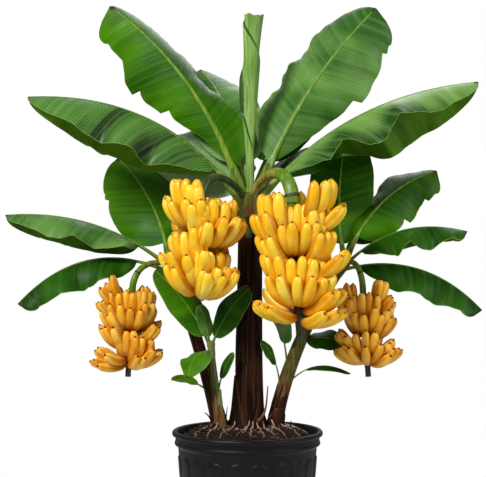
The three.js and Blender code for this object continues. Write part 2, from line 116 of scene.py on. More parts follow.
class Wire:
    """One output in a material's nodes. Sums on wires and numbers add the Math nodes that they need."""

    def __init__(self, tree, socket=None):
        self.tree, self.socket = tree, socket

    def node(self, kind, settings, sockets, out=0):
        """Adds a node, with its settings first and then the values or wires of its sockets."""
        made = self.tree.nodes.new(kind)
        for name, value in settings.items():
            setattr(made, name, value)
        for name, value in sockets.items():
            if isinstance(value, Wire):
                self.tree.links.new(value.socket, made.inputs[name])
            else:
                made.inputs[name].default_value = value
        return Wire(self.tree, made.outputs[out])

    def maths(self, operation, *others):
        return self.node("ShaderNodeMath", {"operation": operation}, dict(enumerate((self, *others))))

    def __add__(self, other):
        return self.maths("ADD", other)

    def __sub__(self, other):
        return self.maths("SUBTRACT", other)

    def __rsub__(self, other):
        return self.node("ShaderNodeMath", {"operation": "SUBTRACT"}, {0: other, 1: self})

    def __mul__(self, other):
        return self.maths("MULTIPLY", other)

    __radd__, __rmul__ = __add__, __mul__

    def between(self, low, high):
        """The share of the way from low to high, kept from 0 to 1 and eased at both ends."""
        limits = {"Value": self, "From Min": low, "From Max": high}
        return self.node("ShaderNodeMapRange", {"interpolation_type": "SMOOTHSTEP"}, limits)

    def mixed(self, first, second):
        """The first colour where this is 0, turning to the second where it is 1."""
        return self.node("ShaderNodeMix", {"data_type": "RGBA"}, {0: self, 6: first, 7: second}, out=2)

    def on_map(self):
        """The places across and up on the finish's map."""
        place = self.node("ShaderNodeTexCoord", {}, {}, out=2)
        return [self.node("ShaderNodeSeparateXYZ", {}, {0: place}, out=axis) for axis in (0, 1)]

    def noise(self, scale, detail=2, stretch=(1, 1, 1), roughness=0.5):
        """Noise through space, whose scale is multiplied by stretch along each axis."""
        place = self.node("ShaderNodeTexCoord", {}, {}, out=3)
        place = self.node("ShaderNodeVectorMath", {"operation": "MULTIPLY"}, {0: place, 1: stretch})
        sockets = {"Vector": place, "Scale": scale, "Detail": detail, "Roughness": roughness}
        return self.node("ShaderNodeTexNoise", {}, sockets)


def colour(red, green, blue):
    """A colour given as a paint chart does, from 0 to 255, as the shader's own light values."""
    parts = [part / 255 for part in (red, green, blue)]
    return (*(part / 12.92 if part < 0.04045 else ((part + 0.055) / 1.055) ** 2.4 for part in parts), 1)


def material(name, **constants):
    """A new material with its shader's constants set on the shader's own sockets, and a wire in it."""
    made = bpy.data.materials.new(name)
    made.use_nodes = True
    shader = made.node_tree.nodes["Principled BSDF"]
    for socket, value in constants.items():
        shader.inputs[socket.replace("_", " ")].default_value = value
    return made, Wire(made.node_tree)


def feed(made, **wires):
    """Leads each wire to the socket of the material's shader that it is named after."""
    shader = made.node_tree.nodes["Principled BSDF"]
    for socket, wire in wires.items():
        made.node_tree.links.new(wire.socket, shader.inputs[socket.replace("_", " ")])


def relief(height, depth, strength=1.0):
    """The normal of a surface whose height is given, with depth in metres."""
    sockets = {"Height": height, "Distance": depth, "Strength": strength}
    return height.node("ShaderNodeBump", {}, sockets)


def smooth(values):
    """Runs smoothly from 0, where a value is 0 or less, to 1, where it is 1 or more."""
    share = np.clip(values, 0, 1)
    return share * share * (3 - 2 * share)


def rounded(corners, steps=4, longest=0.48):
    """A profile of (radius, height) points. Each corner turns into a curve that starts and ends as far
    off as its third value, or as the longest share of its sides."""
    corners = [np.array(corner, float) for corner in corners]
    made = []
    for before, corner, after in zip([None, *corners], corners, [*corners[1:], None]):
        if before is None or after is None or corner[2] == 0:
            made.append(corner[:2])
            continue
        ways = [other[:2] - corner[:2] for other in (before, after)]
        ends = [corner[:2] + way * min(corner[2] / np.hypot(*way), longest) for way in ways]
        for share in np.linspace(0, 1, steps + 1):
            inward = ends[0] * (1 - share) + corner[:2] * share
            outward = corner[:2] * (1 - share) + ends[1] * share
            made.append(inward * (1 - share) + outward * share)
    return np.array(made)


def circle(sides):
    """The angles of a ring's points."""
    return np.linspace(0, TURN, sides, endpoint=False)


def turned(profile, sides):
    """The grid of a profile of (radius, height) turned about +Z, and its angles."""
    angles = circle(sides) - TURN / 4
    radius, height = profile[:, :1], profile[:, 1:]
    circles = [radius * np.cos(angles), radius * np.sin(angles), height + 0 * angles]
    return np.stack(circles, axis=-1), angles


def fluted(radius, angles, heights):
    """How far the flutes stand out of the wall there, in millimetres."""
    pitch = TURN / FLUTES
    across = radius * (np.mod(angles, pitch) - pitch / 2)
    half = 0.5 * FLUTE_WIDE * pitch * radius
    above = np.maximum(heights - (FLUTE_TOP - half), 0)
    from_edge = np.minimum(half - np.hypot(across, above), heights - FLUTE_FOOT)
    pillow = FLUTE_CROWN * np.clip(from_edge / half, 0, 1)
    return FLUTE_RAISED * smooth(from_edge / FLUTE_EDGE) + pillow


low_rings = np.arange(FLUTE_FOOT - 2, ARCHES_FROM, RING_APART)
arch_rings = np.arange(ARCHES_FROM, FLUTE_TOP + 5, ARCH_RING_APART)
wall = [(FOOT_RADIUS + (WALL_RADIUS - FOOT_RADIUS) * z / WALL_TOP, z, 0) for z in [*low_rings, *arch_rings]]
pot_foot = [(HUB, 0, 0), (FOOT_RADIUS - 1, 0, 4), (FOOT_RADIUS + 0.5, 6, 2)]
collar = [(WALL_RADIUS, WALL_TOP - 2, 3), (GROOVE_RADIUS + 1, WALL_TOP + 3, 2)]
collar += [(COLLAR_RADIUS + 1, WALL_TOP + 5, 2.4), (COLLAR_RADIUS + 1, COLLAR_FOOT, 2.4)]
collar += [(COLLAR_RADIUS - 1.5, COLLAR_FOOT + 2, 1.5), (COLLAR_RADIUS - 1, POT_HEIGHT - RIM_TALL, 2)]
rim = [(RIM_RADIUS - 1.5, POT_HEIGHT - RIM_TALL + 1, 3), (RIM_RADIUS, POT_HEIGHT - 6, 5)]
rim += [(RIM_RADIUS - 4.5, POT_HEIGHT, 5), (COLLAR_RADIUS - POT_THICK - 1, POT_HEIGHT - 1, 4)]
inside = [(WALL_RADIUS - POT_THICK, WALL_TOP - 6, 2), (FOOT_RADIUS - POT_THICK, POT_FLOOR, 5)]
inside += [(HUB, POT_FLOOR, 0)]
pot_profile = rounded([*pot_foot, *wall, *collar, *rim, *inside])
pot_grid, pot_angles = turned(pot_profile, FLUTE_SIDES * FLUTES)
on_wall = slice(len(rounded(pot_foot)), len(rounded([*pot_foot, *wall])))
stands = fluted(pot_profile[on_wall, :1], pot_angles + TURN / 4, pot_profile[on_wall, 1:])
pot_grid[on_wall, :, 0] += stands * np.cos(pot_angles)
pot_grid[on_wall, :, 1] += stands * np.sin(pot_angles)

plastic, wire = material("black_plastic", Specular_IOR_Level=0.24)
scuffs = wire.noise(scale=34, detail=5, roughness=0.65)
cloud = wire.noise(scale=7, detail=3)
dust = scuffs.between(0.52, 0.74) * cloud.between(0.4, 0.7)
feed(
    plastic,
    Base_Color=dust.mixed(colour(*POT_BLACK), colour(*POT_DUST)),
    Roughness=0.3 + 0.2 * cloud + 0.12 * scuffs,
    Normal=relief(wire.noise(scale=520), depth=0.0003, strength=0.35),
)
pot = Shell()
pot.tube(pot_grid)
pot.piece("nursery_pot", [plastic], "pot", "pot")

# The potting mix. Peat and composted bark, mounded towards the back where the clump stands, with loose
# chips of bark lying on it.
SOIL_RADIUS, SOIL_EDGE, SOIL_TOP, SOIL_TOP_RADIUS, SOIL_BACK = 198, 364, 392, 132, 26
SOIL_FOOT, SOIL_SHOULDER, SOIL_RINGS, SOIL_SIDES = 8, 330, 60, 200
# The mix's lumps: how high and how wide they are, and a seed for each kind. The mound leaves room for them.
SOIL_LUMPS, LUMP_ROOM = [(3.5, 34, 0), (2.6, 11, 5), (1.4, 4.5, 9)], 3
PEAT_DARK, PEAT_BROWN, PEAT_DRY = (13, 8, 6), (46, 30, 21), (58, 37, 25)


def ruggedness(*place):
    """A smooth random number from -1 to 1, which changes about once in each step of the place."""
    return noise.noise(Vector(place))


def soil_height(x, y):
    """The height of the potting mix at a place."""
    slope_wide = SOIL_RADIUS - SOIL_TOP_RADIUS
    back = SOIL_BACK * min(1, max(0, (SOIL_RADIUS - math.hypot(x, y)) / slope_wide))
    share = (SOIL_RADIUS - math.hypot(x, y - back)) / slope_wide
    height = SOIL_EDGE + (SOIL_TOP - LUMP_ROOM - SOIL_EDGE) * float(smooth(share))
    for rise, size, seed in SOIL_LUMPS:
        height += rise * ruggedness(x / size, y / size, seed)
    return height


soil_rings = np.concatenate([[HUB, 2], np.linspace(5, SOIL_RADIUS, SOIL_RINGS)])
top = [[(r * math.cos(a), r * math.sin(a)) for a in circle(SOIL_SIDES)] for r in soil_rings]
top = np.array([[(x, y, soil_height(x, y)) for x, y in ring] for ring in top])
hull = [(HUB, SOIL_FOOT), (FOOT_RADIUS - 8, SOIL_FOOT), (SOIL_RADIUS - 6, SOIL_SHOULDER)]
under = np.roll(turned(np.array(hull, float), SOIL_SIDES)[0], -SOIL_SIDES // 4, axis=1)

peat, wire = material("peat", Specular_IOR_Level=0.2, Roughness=0.95)
crumbs = wire.noise(scale=260, detail=4, roughness=0.7)
patches = wire.noise(scale=60, detail=3)
mix = crumbs.between(0.42, 0.62).mixed(colour(*PEAT_DARK), colour(*PEAT_BROWN))
feed(
    peat,
    Base_Color=patches.between(0.55, 0.72).mixed(mix, colour(*PEAT_DRY)),
    Normal=relief(crumbs + 0.6 * patches, depth=0.004),
)
ground = Shell()
ground.tube(np.concatenate([under, top[::-1]]))
ground.piece("potting_mix", [peat], "soil", "soil")

BARK = [(26, 16, 11), (42, 25, 16), (18, 12, 9), (84, 54, 36), (32, 19, 13)]
# A chip is from 2 to 8 mm long, and most are small. In patches, pale ones lie in place of dark ones.
CHIPS, CHIP_LEAST, CHIP_MORE, CHIP_SMALLER = 1100, 2, 6, 2.6
CHIP_OUTLINE = np.array([(-1, -0.4), (-0.3, -0.55), (0.8, -0.5), (1, 0.1), (0.5, 0.5), (-0.8, 0.45)])
CHIP_TOP, CHIP_TILT, CHIP_RISE = 0.86, 0.5, 0.2
PALE_PATCH, PALE_FROM, PALE_IN, PALE_OUT = 70, 0.25, 0.3, 0.04


def fibrous(name, paint, worn=None, grain=180, shine=0.2, rough=0.85, upright=0.22):
    """A fibrous finish: its paint, worn lighter or to another colour along a fine upright grain."""
    made, wire = material(name, Specular_IOR_Level=shine)
    fibres = wire.noise(grain, detail=4, stretch=(1, 1, upright), roughness=0.6)
    worn = worn or [min(255, part * 1.55 + 10) for part in paint]
    feed(
        made,
        Base_Color=fibres.between(0.42, 0.68).mixed(colour(*paint), colour(*worn)),
        Roughness=rough - 0.12 * fibres,
        Normal=relief(fibres, depth=0.0012, strength=0.8),
    )
    return made


def chip(shell, centre, size, finish):
    """One chip of bark: a small slab with knocked corners, lying as it fell."""
    spin, tilt = rng.uniform(0, TURN), rng.uniform(-CHIP_TILT, CHIP_TILT)
    ring = CHIP_OUTLINE * rng.uniform(0.75, 1.2, CHIP_OUTLINE.shape) * size
    x, y = ring[:, 0], ring[:, 1]
    flat = np.stack([x * math.cos(spin) - y * math.sin(spin), x * math.sin(spin) + y * math.cos(spin)], 1)
    rise = x * math.sin(tilt)
    thick = size * rng.uniform(0.16, 0.3)
    low = np.column_stack([flat, rise - thick])
    high = np.column_stack([flat * CHIP_TOP, rise + thick])
    shell.tube(np.stack([low, high]) + centre, finish)


rng = np.random.RandomState(7)
mulch = Shell()
for _ in range(CHIPS):
    angle, reach = rng.uniform(0, TURN), SOIL_RADIUS * math.sqrt(rng.uniform(0, 0.94))
    x, y = reach * math.cos(angle), reach * math.sin(angle)
    size = CHIP_LEAST + CHIP_MORE * rng.uniform() ** CHIP_SMALLER
    place = np.array([x, y, soil_height(x, y) + CHIP_RISE * size])
    pale = PALE_IN if ruggedness(x / PALE_PATCH, y / PALE_PATCH, 3) > PALE_FROM else PALE_OUT
    chip(mulch, place, size, int(rng.choice(len(BARK), p=[0.3, 0.24, 0.3 - pale, pale, 0.16])))
mulch.piece("bark_chips", [fibrous(f"bark_{i}", paint) for i, paint in enumerate(BARK)], "soil")

# The stems. A banana's stem is the wrapped feet of its leaves: layers whose free edges run up it, old
# and dark brown on the main stem, olive to brown on the younger two, and green on the sucker.
STEMS = {
    "main": {"foot": [3, 36], "head": [8, 26, 1078], "bow": [0, 0], "radii": [43, 35], "flare": 10},
    "left": {"foot": [-82, 52], "head": [-232, 66, 880], "bow": [10, 0], "radii": [21, 19], "flare": 4},
    "right": {"foot": [79, 50], "head": [290, 64, 882], "bow": [-28, 0], "radii": [23, 19], "flare": 4},
    "sucker": {"foot": [-72, -6], "head": [-107, -14, 646], "bow": [-3, 0], "radii": [12, 9], "flare": 3},
}
FLARE_REACH = 60
STEM_SLOTS = {"main": "old_stem", "left": "young_stem", "right": "young_stem", "sucker": "green_stem"}
# The mesh of a stem starts a little below the mix's top, and its rings lie closer at the foot. It is
# thinner than its solid by a share, on which its layers are wrapped, and closes in at its head.
STEM_ROWS, STEM_SIDES = {"main": 96}, {"main": 160}
YOUNG_ROWS, YOUNG_SIDES, STEM_SUNK, ROWS_CLOSER = 72, 88, 4, 1.25
LAYERS_IN, LAYER_STEP, LAYER_EDGES, LAYER_DRIFT, LAYER_SWAY = 0.04, 0.07, 5, 0.0016, 0.012
HEAD_FROM, HEAD_CLOSES = 0.985, 0.5
# A sheath's paint, its worn paint, and its grain, shine and roughness.
SHEATH_PAINTS = {
    "old_sheath": [(17, 9, 4), (36, 18, 8), 120, 0.08, 0.6],
    "brown_sheath": [(46, 22, 8), (66, 34, 13), 120, 0.1, 0.58],
    "tan_sheath": [(88, 58, 28), (132, 98, 56), 120, 0.12, 0.6],
    "olive_sheath": [(76, 76, 20), (122, 116, 46), 110, 0.25, 0.46],
    "green_sheath": [(64, 88, 24), (104, 122, 50), 100, 0.3, 0.42],
    "pale_sheath": [(104, 114, 54), (146, 148, 92), 100, 0.3, 0.42],
}
SHEATHS = {name: fibrous(name, *finish, upright=0.07) for name, finish in SHEATH_PAINTS.items()}
# A stem's tones from foot to head, as places in the order above, and how much streaks stray from them.
TONES = {
    "main": ([0.4, 0.5, 0.5, 0.5, 0.5, 0.5, 0.6, 1.4, 3.6], 0.85),
    "left": ([0.7, 0.8, 0.8, 0.8, 1.2, 3.0, 3.3, 3.8], 1.7),
    "right": ([0.2, 0.8, 2.6, 3.1, 3.2, 3.3, 3.6, 4.0], 1.5),
    "sucker": ([0.9, 2.6, 3.5, 3.9, 4.4, 4.6, 4.8], 1.3),
}
# The streaks' strength, width and length.
STREAKS = [(1, 11, 260), (0.4, 4, 150)]
UP = np.array([0.0, 0.0, 1.0])


def bezier(corners, shares):
    """The points of a Bezier curve, of any number of corners, at shares of its way."""
    shares = np.atleast_1d(np.asarray(shares, float))[:, None]
    row = [np.array(corner, float)[None] + 0 * shares for corner in corners]
    while len(row) > 1:
        row = [a * (1 - shares) + b * shares for a, b in zip(row, row[1:])]
    return row[0]


def unit(vectors):
    return vectors / np.maximum(np.linalg.norm(vectors, axis=-1, keepdims=True), 1e-9)


def along(values, share):
    """The value at a share of the way along a list of evenly spaced values."""
    return np.interp(share, np.linspace(0, 1, len(values)), values)


def halfway(values):
    """The means of neighbouring values, which are those of the faces between two rows."""
    return (values[1:] + values[:-1]) / 2


def stem_line(stem, shares):
    """A stem's centre line. A share of the way is that share of the height."""
    start, end = np.array([*stem["foot"], SOIL_TOP], float), np.array(stem["head"], float)
    middle = (start + end) / 2 + 2 * np.array([*stem["bow"], 0])
    return bezier([start, middle, end], shares)


def stem_share(stem, height):
    return np.clip((height - SOIL_TOP) / (stem["head"][2] - SOIL_TOP), 0, 1)


def stem_radius(stem, height):
    above = np.maximum(np.asarray(height, float) - SOIL_TOP, 0)
    return along(stem["radii"], stem_share(stem, height)) + stem["flare"] * np.exp(-above / FLARE_REACH)


def stem_point(stem, height, target, share):
    """The point on a stem at a height, moved towards a target by a share of the stem's radius."""
    centre = stem_line(stem, stem_share(stem, height))[0]
    outward = unit(np.array([target[0] - centre[0], target[1] - centre[1], 0.0]))
    return centre + outward * share * stem_radius(stem, height)


def beside(line, right, up, x, y):
    """The points x to the right of a line and y up from it, row by row along the line."""
    return line[:, None] + right[:, None] * x[..., None] + up[:, None] * y[..., None]


def rings(line, radii, sides, right):
    """A tube's grid: rings round a line of points. right stays to each ring's right."""
    tangent = unit(np.gradient(line, axis=0))
    right = np.array(right, float) + 0 * tangent
    right = unit(right - np.sum(right * tangent, axis=1, keepdims=True) * tangent)
    angles = circle(sides)
    radii = np.asarray(radii, float)
    radii = radii[:, None] if radii.ndim == 1 else radii
    return beside(line, right, np.cross(right, tangent), radii * np.cos(angles), radii * np.sin(angles))


def wraps(angles, heights, edges, step):
    """How far a stem's wrapped layers stand out. Each steps down where its free edge runs up."""
    total = 0
    for start, drift, sway in edges:
        edge = start + drift * heights + sway * np.sin(heights * LAYER_SWAY + start)
        total = total + step * (0.5 - np.mod(angles - edge, TURN) / TURN)
    return total


def tone(name, angles, heights, share, seed):
    """Which finish each part of a stem has: its height's own, straying in long upright streaks."""
    tones, stray = TONES[name]
    radius = STEMS[name]["radii"][0]
    turns, tall = np.broadcast_arrays(angles, heights)
    streak = np.zeros(turns.shape)
    for place in np.ndindex(streak.shape):
        x, y = radius * math.cos(turns[place]), radius * math.sin(turns[place])
        for strength, wide, long in STREAKS:
            streak[place] += strength * ruggedness(x / wide, y / wide, tall[place] / long + seed)
    tones = along(tones, share) + stray * streak
    return np.clip(np.round(tones), 0, len(SHEATHS) - 1).astype(int)


for seed, (name, stem) in enumerate(STEMS.items()):
    rng = np.random.RandomState(40 + seed)
    sides = STEM_SIDES.get(name, YOUNG_SIDES)
    share = np.linspace(0, 1, STEM_ROWS.get(name, YOUNG_ROWS))[:, None] ** ROWS_CLOSER
    foot, thick = SOIL_TOP - STEM_SUNK, stem["radii"][0]
    heights = foot + (stem["head"][2] - foot) * share
    angles = circle(sides)[None]
    radius = stem_radius(stem, heights) - LAYERS_IN * thick
    edges = []
    for _ in range(LAYER_EDGES):
        edges.append((rng.uniform(0, TURN), rng.uniform(-1, 1) * LAYER_DRIFT, rng.uniform(0.05, 0.3)))
    radius = radius + wraps(angles, heights, edges, LAYER_STEP * thick)
    radius = radius * (1 - HEAD_CLOSES * smooth((share - HEAD_FROM) / (1 - HEAD_FROM)))
    centre = stem_line(stem, stem_share(stem, heights[:, 0]))
    ways = np.stack([np.cos(angles[0]), np.sin(angles[0]), 0 * angles[0]], axis=1)
    grid = centre[:, None] + radius[..., None] * ways[None]
    grid[..., 2] = heights
    shell = Shell()
    shell.tube(grid, tone(name, angles, halfway(heights), halfway(share), 10 * seed))
    shell.piece(f"{name}_wrapped_stem", list(SHEATHS.values()), STEM_SLOTS[name], f"{name}_stem")

# The dry sheaths and roots at the clump's foot. Old layers split off and curl, and stout roots leave
# the stems just above the mix and run out over it.

# How far a layer's edges stand out of its stem, how round its middle is, and how far in its back lies.
CLASP_EDGE, CLASP_DOME, CLASP_INSIDE = 0.7, 0.96, -3.0
# A layer is its stem, its bearing in degrees, its heights, half angles and stands from its foot to its
# head, and the numbers of its edge's and its middle's sheath.
LAYERS = [
    ("main", 206, [394, 440, 541], [1.15, 0.75, 0.1], [9, 6, 5], (1, 0)),
    ("main", 318, [394, 430, 500], [0.8, 0.4, 0.05], [8, 6, 3], (1, 0)),
    ("main", 90, [394, 460, 560], [1.2, 0.9, 0.1], [7, 5, 3], (1, 0)),
    ("right", 282, [394, 420, 444], [1.3, 1.1, 0.5], [7, 9, 8], (2, 1)),
    ("left", 300, [394, 470, 560], [1.1, 0.7, 0.1], [5, 5, 3], (2, 1)),
    ("left", 110, [394, 450, 520], [1.2, 0.8, 0.1], [5, 4, 3], (1, 0)),
    ("sucker", 230, [394, 430, 500], [1.4, 0.9, 0.1], [4, 4, 2], (2, 2)),
]
# A curl is the corners of its line, its radii and its sheath.
CURLS = [
    ([(60, 12, 511), (55, 8, 468), (58, 0, 440), (44, -14, 422), (28, -22, 412)], [1.5, 2.5, 3, 4.5, 6], 2),
    ([(-126, 18, 431), (-119, 20, 431), (-110, 20, 420), (-102, 18, 398)], [1.2, 1.8, 2, 2.4], 0),
    ([(128, 10, 410), (126, 12, 398), (125, 14, 384)], [1.2, 2, 2.4], 0),
    ([(-58, -2, 452), (-62, -6, 425), (-66, -10, 394)], [0.8, 2, 3], 0),
]
CURL_ROWS, CURL_SIDES = 22, 8
RIGHT, FRONT = (1, 0, 0), (0, -1, 0)


def clasp(shell, stem, bearing, heights, spreads, lifts, finish, rows=16, lanes=9):
    """A layer that clasps a stem: from its first height to its last, its half angle and how far its
    middle stands out run along spreads and lifts. finish is the number of its edge and of its middle."""
    share = np.linspace(0, 1, rows)
    height = along(heights, share)
    spread, lift = along(spreads, share), along(lifts, share)
    centre = stem_line(stem, stem_share(stem, height))
    across = np.concatenate([np.linspace(-1, 1, lanes), np.linspace(1, -1, lanes)])
    column = np.arange(2 * lanes)
    turn = bearing + across * spread[:, None]
    dome = CLASP_EDGE + (lift[:, None] - CLASP_EDGE) * np.sqrt(1 - CLASP_DOME * across**2)
    reach = stem_radius(stem, height)[:, None] + np.where(column < lanes, dome, CLASP_INSIDE)
    grid = centre[:, None] + np.stack([reach * np.cos(turn), reach * np.sin(turn), 0 * turn], axis=-1)
    grid[..., 2] = height[:, None]
    kinds = np.where((column < 1) | (column >= lanes - 2), finish[0], finish[1])
    shell.tube(grid, np.broadcast_to(kinds, (rows - 1, 2 * lanes)))


shell = Shell()
for stem, bearing, heights, spreads, lifts, finish in LAYERS:
    clasp(shell, STEMS[stem], math.radians(bearing), heights, spreads, lifts, finish)
for corners, radii, finish in CURLS:
    share = np.linspace(0, 1, CURL_ROWS)
    shell.tube(rings(bezier(corners, share), along(radii, share), CURL_SIDES, FRONT), finish)
shell.piece("dry_sheaths", list(SHEATHS.values()), "old_stem")

ROOT_COUNT, ROOTED = 150, ["main", "main", "main", "left", "right", "sucker"]
ROOT_ROWS, ROOT_SIDES, ROOT_TAPER, SUCKER_ROOTS = 26, 7, 0.62, 0.6
# A root leaves its stem so high above the mix, comes down over a share of its way, and wanders sideways.
ROOT_RISE, ROOT_FALLS, ROOT_WANDERS = 20, 1 / 9, 13
PALE_THICK = 2.2
PALE_ROOTS = [
    [(-96, 44), (-161, -82)], [(-86, -18), (-122, -104)], [(-36, -4), (-84, -122)],
    [(6, -12), (-34, -124)], [(16, -12), (8, -138)], [(26, -10), (50, -132)],
    [(44, -2), (84, -128)], [(70, 12), (118, -121)], [(92, 34), (156, -70)],
]
ROOT_PAINTS = [(26, 16, 12), (56, 42, 34), (132, 112, 100)]


def root(shell, start, end, thick, finish):
    """One root: it comes down from a stem's foot and runs over the mix, wandering, into its end."""
    start, end = np.array(start, float), np.array(end, float)
    share = np.linspace(0, 1, ROOT_ROWS)
    way = end - start
    side = np.array([-way[1], way[0]]) / math.hypot(*way)
    wander = np.array([ruggedness(8 * s, thick * 9, start[0] / 7) for s in share])
    flat = start * (1 - share[:, None]) + end * share[:, None]
    flat = flat + side * (ROOT_WANDERS * wander * np.sin(math.pi * share))[:, None]
    # It lies on the mix and sinks into it at its end.
    rest = np.array([soil_height(x, y) for x, y in flat]) + thick * (0.9 - 1.8 * share**3)
    line = np.column_stack([flat, rest + ROOT_RISE * np.exp(-share / ROOT_FALLS)])
    level = np.cross(unit(np.gradient(line, axis=0)), UP)
    shell.tube(rings(line, thick * (1 - ROOT_TAPER * share), ROOT_SIDES, level), finish)


rng = np.random.RandomState(11)
roots = Shell()
for i in range(ROOT_COUNT):
    name = ROOTED[rng.randint(len(ROOTED))]
    stem = STEMS[name]
    foot, wide = np.array(stem["foot"], float), stem["radii"][0] + 0.6 * stem["flare"]
    bearing = rng.uniform(0, TURN) if i % 2 else rng.uniform(0.9, 2.1) * math.pi
    out = np.array([math.cos(bearing), math.sin(bearing)])
    end = foot + out * (wide + rng.uniform(30, 130) * (SUCKER_ROOTS if name == "sucker" else 1))
    end *= min(1, (SOIL_RADIUS - 8) / math.hypot(*end))
    thick, finish = rng.uniform(1.0, 2.6), int(rng.choice(3, p=[0.4, 0.4, 0.2]))
    root(roots, foot + out * (wide - 8), end, thick, finish)
for start, end in PALE_ROOTS:
    root(roots, start, end, PALE_THICK, 2)
roots.piece("surface_roots", [fibrous(f"root_{i}", paint) for i, paint in enumerate(ROOT_PAINTS)], "soil")

# The bunches. Each hangs from a stout stalk that leaves the stem's top, arches over and turns down into
# the bunch's own core. Hands of bananas sit on it, one or two rows to a hand, all curling up to the light.

# A stalk is its stem, its height there, how far it rises, the share of the way to the bunch where it
# does, how far it falls to the bunch, its radii, and the shares of its length where the last leaf's scar
# rings it and up to where it is olive.
STALKS = {
    "upper_left": ["main", 1050, 84, 0.42, 96, [10, 13], 0.66, 0],
    "upper_right": ["main", 1066, 92, 0.34, 104, [12, 21], 0.93, 0.56],
    "lower_left": ["left", 862, 26, 0.6, 66, [8, 9.5], 0.66, 0.42],
    "lower_right": ["right", 866, 26, 0.6, 66, [7.5, 9], 0.66, 0.42],
}
STALK_ROWS, SCAR_WIDE = 60, 0.012
# A hand is its height below the top, bearing, spread, fingers in a row, rows, first and last elevation,
# and how far its cushion stands out of the core.
BUNCHES = {
    "upper_left": {
        "top": [-131, -128, 1046], "foot": [-137, -130, 766], "girth": 34, "length": 126, "core": 14,
        "hands": [
            [46, 214, 130, 5, 2, 18, 84], [98, 326, 130, 5, 2, 12, 82, 20], [60, 262, 40, 2, 2, 16, 84],
            [116, 268, 30, 2, 1, 8, 80], [96, 90, 100, 5, 2, 16, 84], [186, 216, 140, 5, 2, 10, 80],
            [168, 274, 30, 2, 1, 4, 78], [150, 90, 150, 5, 1, 12, 82], [238, 328, 130, 5, 2, 10, 78],
            [236, 268, 40, 2, 1, -2, 72], [250, 226, 40, 2, 1, -16, 62], [258, 318, 90, 4, 1, -10, 62],
            [214, 90, 140, 5, 1, 4, 74],
        ],
    },
    "upper_right": {
        "top": [126, -150, 1042], "foot": [152, -150, 648], "girth": 33, "length": 130, "core": 16,
        "hands": [
            [50, 334, 80, 4, 1, 22, 82, 40], [88, 214, 76, 4, 1, 16, 86, 24],
            [78, 347, 40, 3, 1, -2, 54, 30], [118, 206, 60, 4, 1, -6, 68, 18],
            [122, 268, 120, 6, 2, 26, 88], [124, 324, 60, 3, 1, 8, 78, 10],
            [174, 334, 70, 4, 1, 2, 72, 12], [204, 345, 50, 3, 1, -8, 52, 30],
            [178, 206, 60, 4, 1, 0, 62, 4], [258, 268, 130, 6, 2, 18, 84], [234, 208, 70, 4, 1, -2, 72],
            [258, 322, 60, 3, 1, 4, 72], [316, 210, 60, 4, 1, -20, 34], [302, 340, 56, 4, 1, -10, 46],
            [328, 332, 80, 4, 1, -24, 28], [84, 90, 150, 6, 2, 16, 84], [156, 90, 170, 6, 1, 12, 82],
            [236, 90, 170, 6, 1, 4, 76], [306, 90, 140, 5, 1, -14, 44],
        ],
    },
    "lower_left": {
        "top": [-334, -20, 786], "foot": [-346, -24, 542], "girth": 26, "length": 104, "core": 9,
        "hands": [
            [38, 186, 34, 2, 1, 22, 80], [46, 192, 40, 3, 1, 4, 58], [66, 198, 40, 3, 1, -14, 42],
            [86, 275, 140, 6, 2, 24, 86], [78, 338, 60, 3, 1, 12, 84], [140, 346, 50, 3, 1, -12, 50],
            [122, 212, 70, 4, 1, 0, 62], [156, 214, 80, 4, 1, -4, 58], [180, 272, 60, 3, 1, 0, 78],
            [196, 315, 70, 3, 1, -4, 68], [188, 214, 60, 3, 1, -22, 36], [204, 320, 70, 4, 1, -20, 40],
            [200, 212, 60, 3, 1, -32, 18], [76, 80, 150, 5, 1, 20, 84], [112, 80, 160, 5, 1, 10, 76],
            [156, 80, 160, 5, 1, 0, 66], [196, 85, 150, 5, 1, -16, 40],
        ],
    },
    "lower_right": {
        "top": [335, -20, 784], "foot": [350, -24, 542], "girth": 26, "length": 101, "core": 9,
        "hands": [
            [50, 10, 90, 4, 1, 24, 84], [44, 345, 40, 3, 1, 14, 78], [66, 350, 40, 3, 1, -4, 52],
            [62, 160, 60, 3, 1, 24, 86], [92, 272, 150, 6, 2, 22, 84], [92, 205, 60, 4, 1, 4, 70],
            [128, 335, 70, 4, 1, 0, 64], [160, 204, 70, 4, 1, -6, 54], [182, 270, 70, 3, 1, 0, 74],
            [190, 314, 60, 3, 1, -6, 60], [196, 328, 60, 4, 1, -20, 38], [194, 212, 70, 4, 1, -18, 40],
            [198, 270, 20, 1, 1, -12, 46], [88, 90, 150, 5, 1, 14, 80], [124, 90, 160, 5, 1, 6, 72],
            [176, 90, 150, 5, 1, -8, 50],
        ],
    },
}
# In a hand of two rows the lower one starts lower by a share of a finger and lies flatter, in degrees
# at its fingers' roots and at their ends.
ROW_DROP, ROOT_FLATTER, END_FLATTER = 0.16, 28, 20
# A finger's girth along it, from its root to its nib: a short neck, a full middle and a blunt end. It
# bends most near its neck, and has five soft edges.
FINGER_GIRTHS = [
    (0, 0.5), (0.04, 0.44), (0.08, 0.46), (0.13, 0.64), (0.19, 0.84), (0.26, 0.97), (0.35, 1.03),
    (0.46, 1.06), (0.57, 1.07), (0.68, 1.05), (0.77, 1.0), (0.85, 0.91), (0.91, 0.76), (0.95, 0.54),
    (0.974, 0.3), (0.985, 0.19), (1, 0.15),
]
FINGER_SIDES, FINGER_BEND, FINGER_EDGES, EDGE_STANDS = 14, 1.8, 5, 0.05
NECK, NIB = 0.09, 0.97
# The numbers of a bunch's finishes, after its four skins.
NECK_FINISH, NIB_FINISH, CORE_GREEN, CORE_BROWN = range(4, 8)
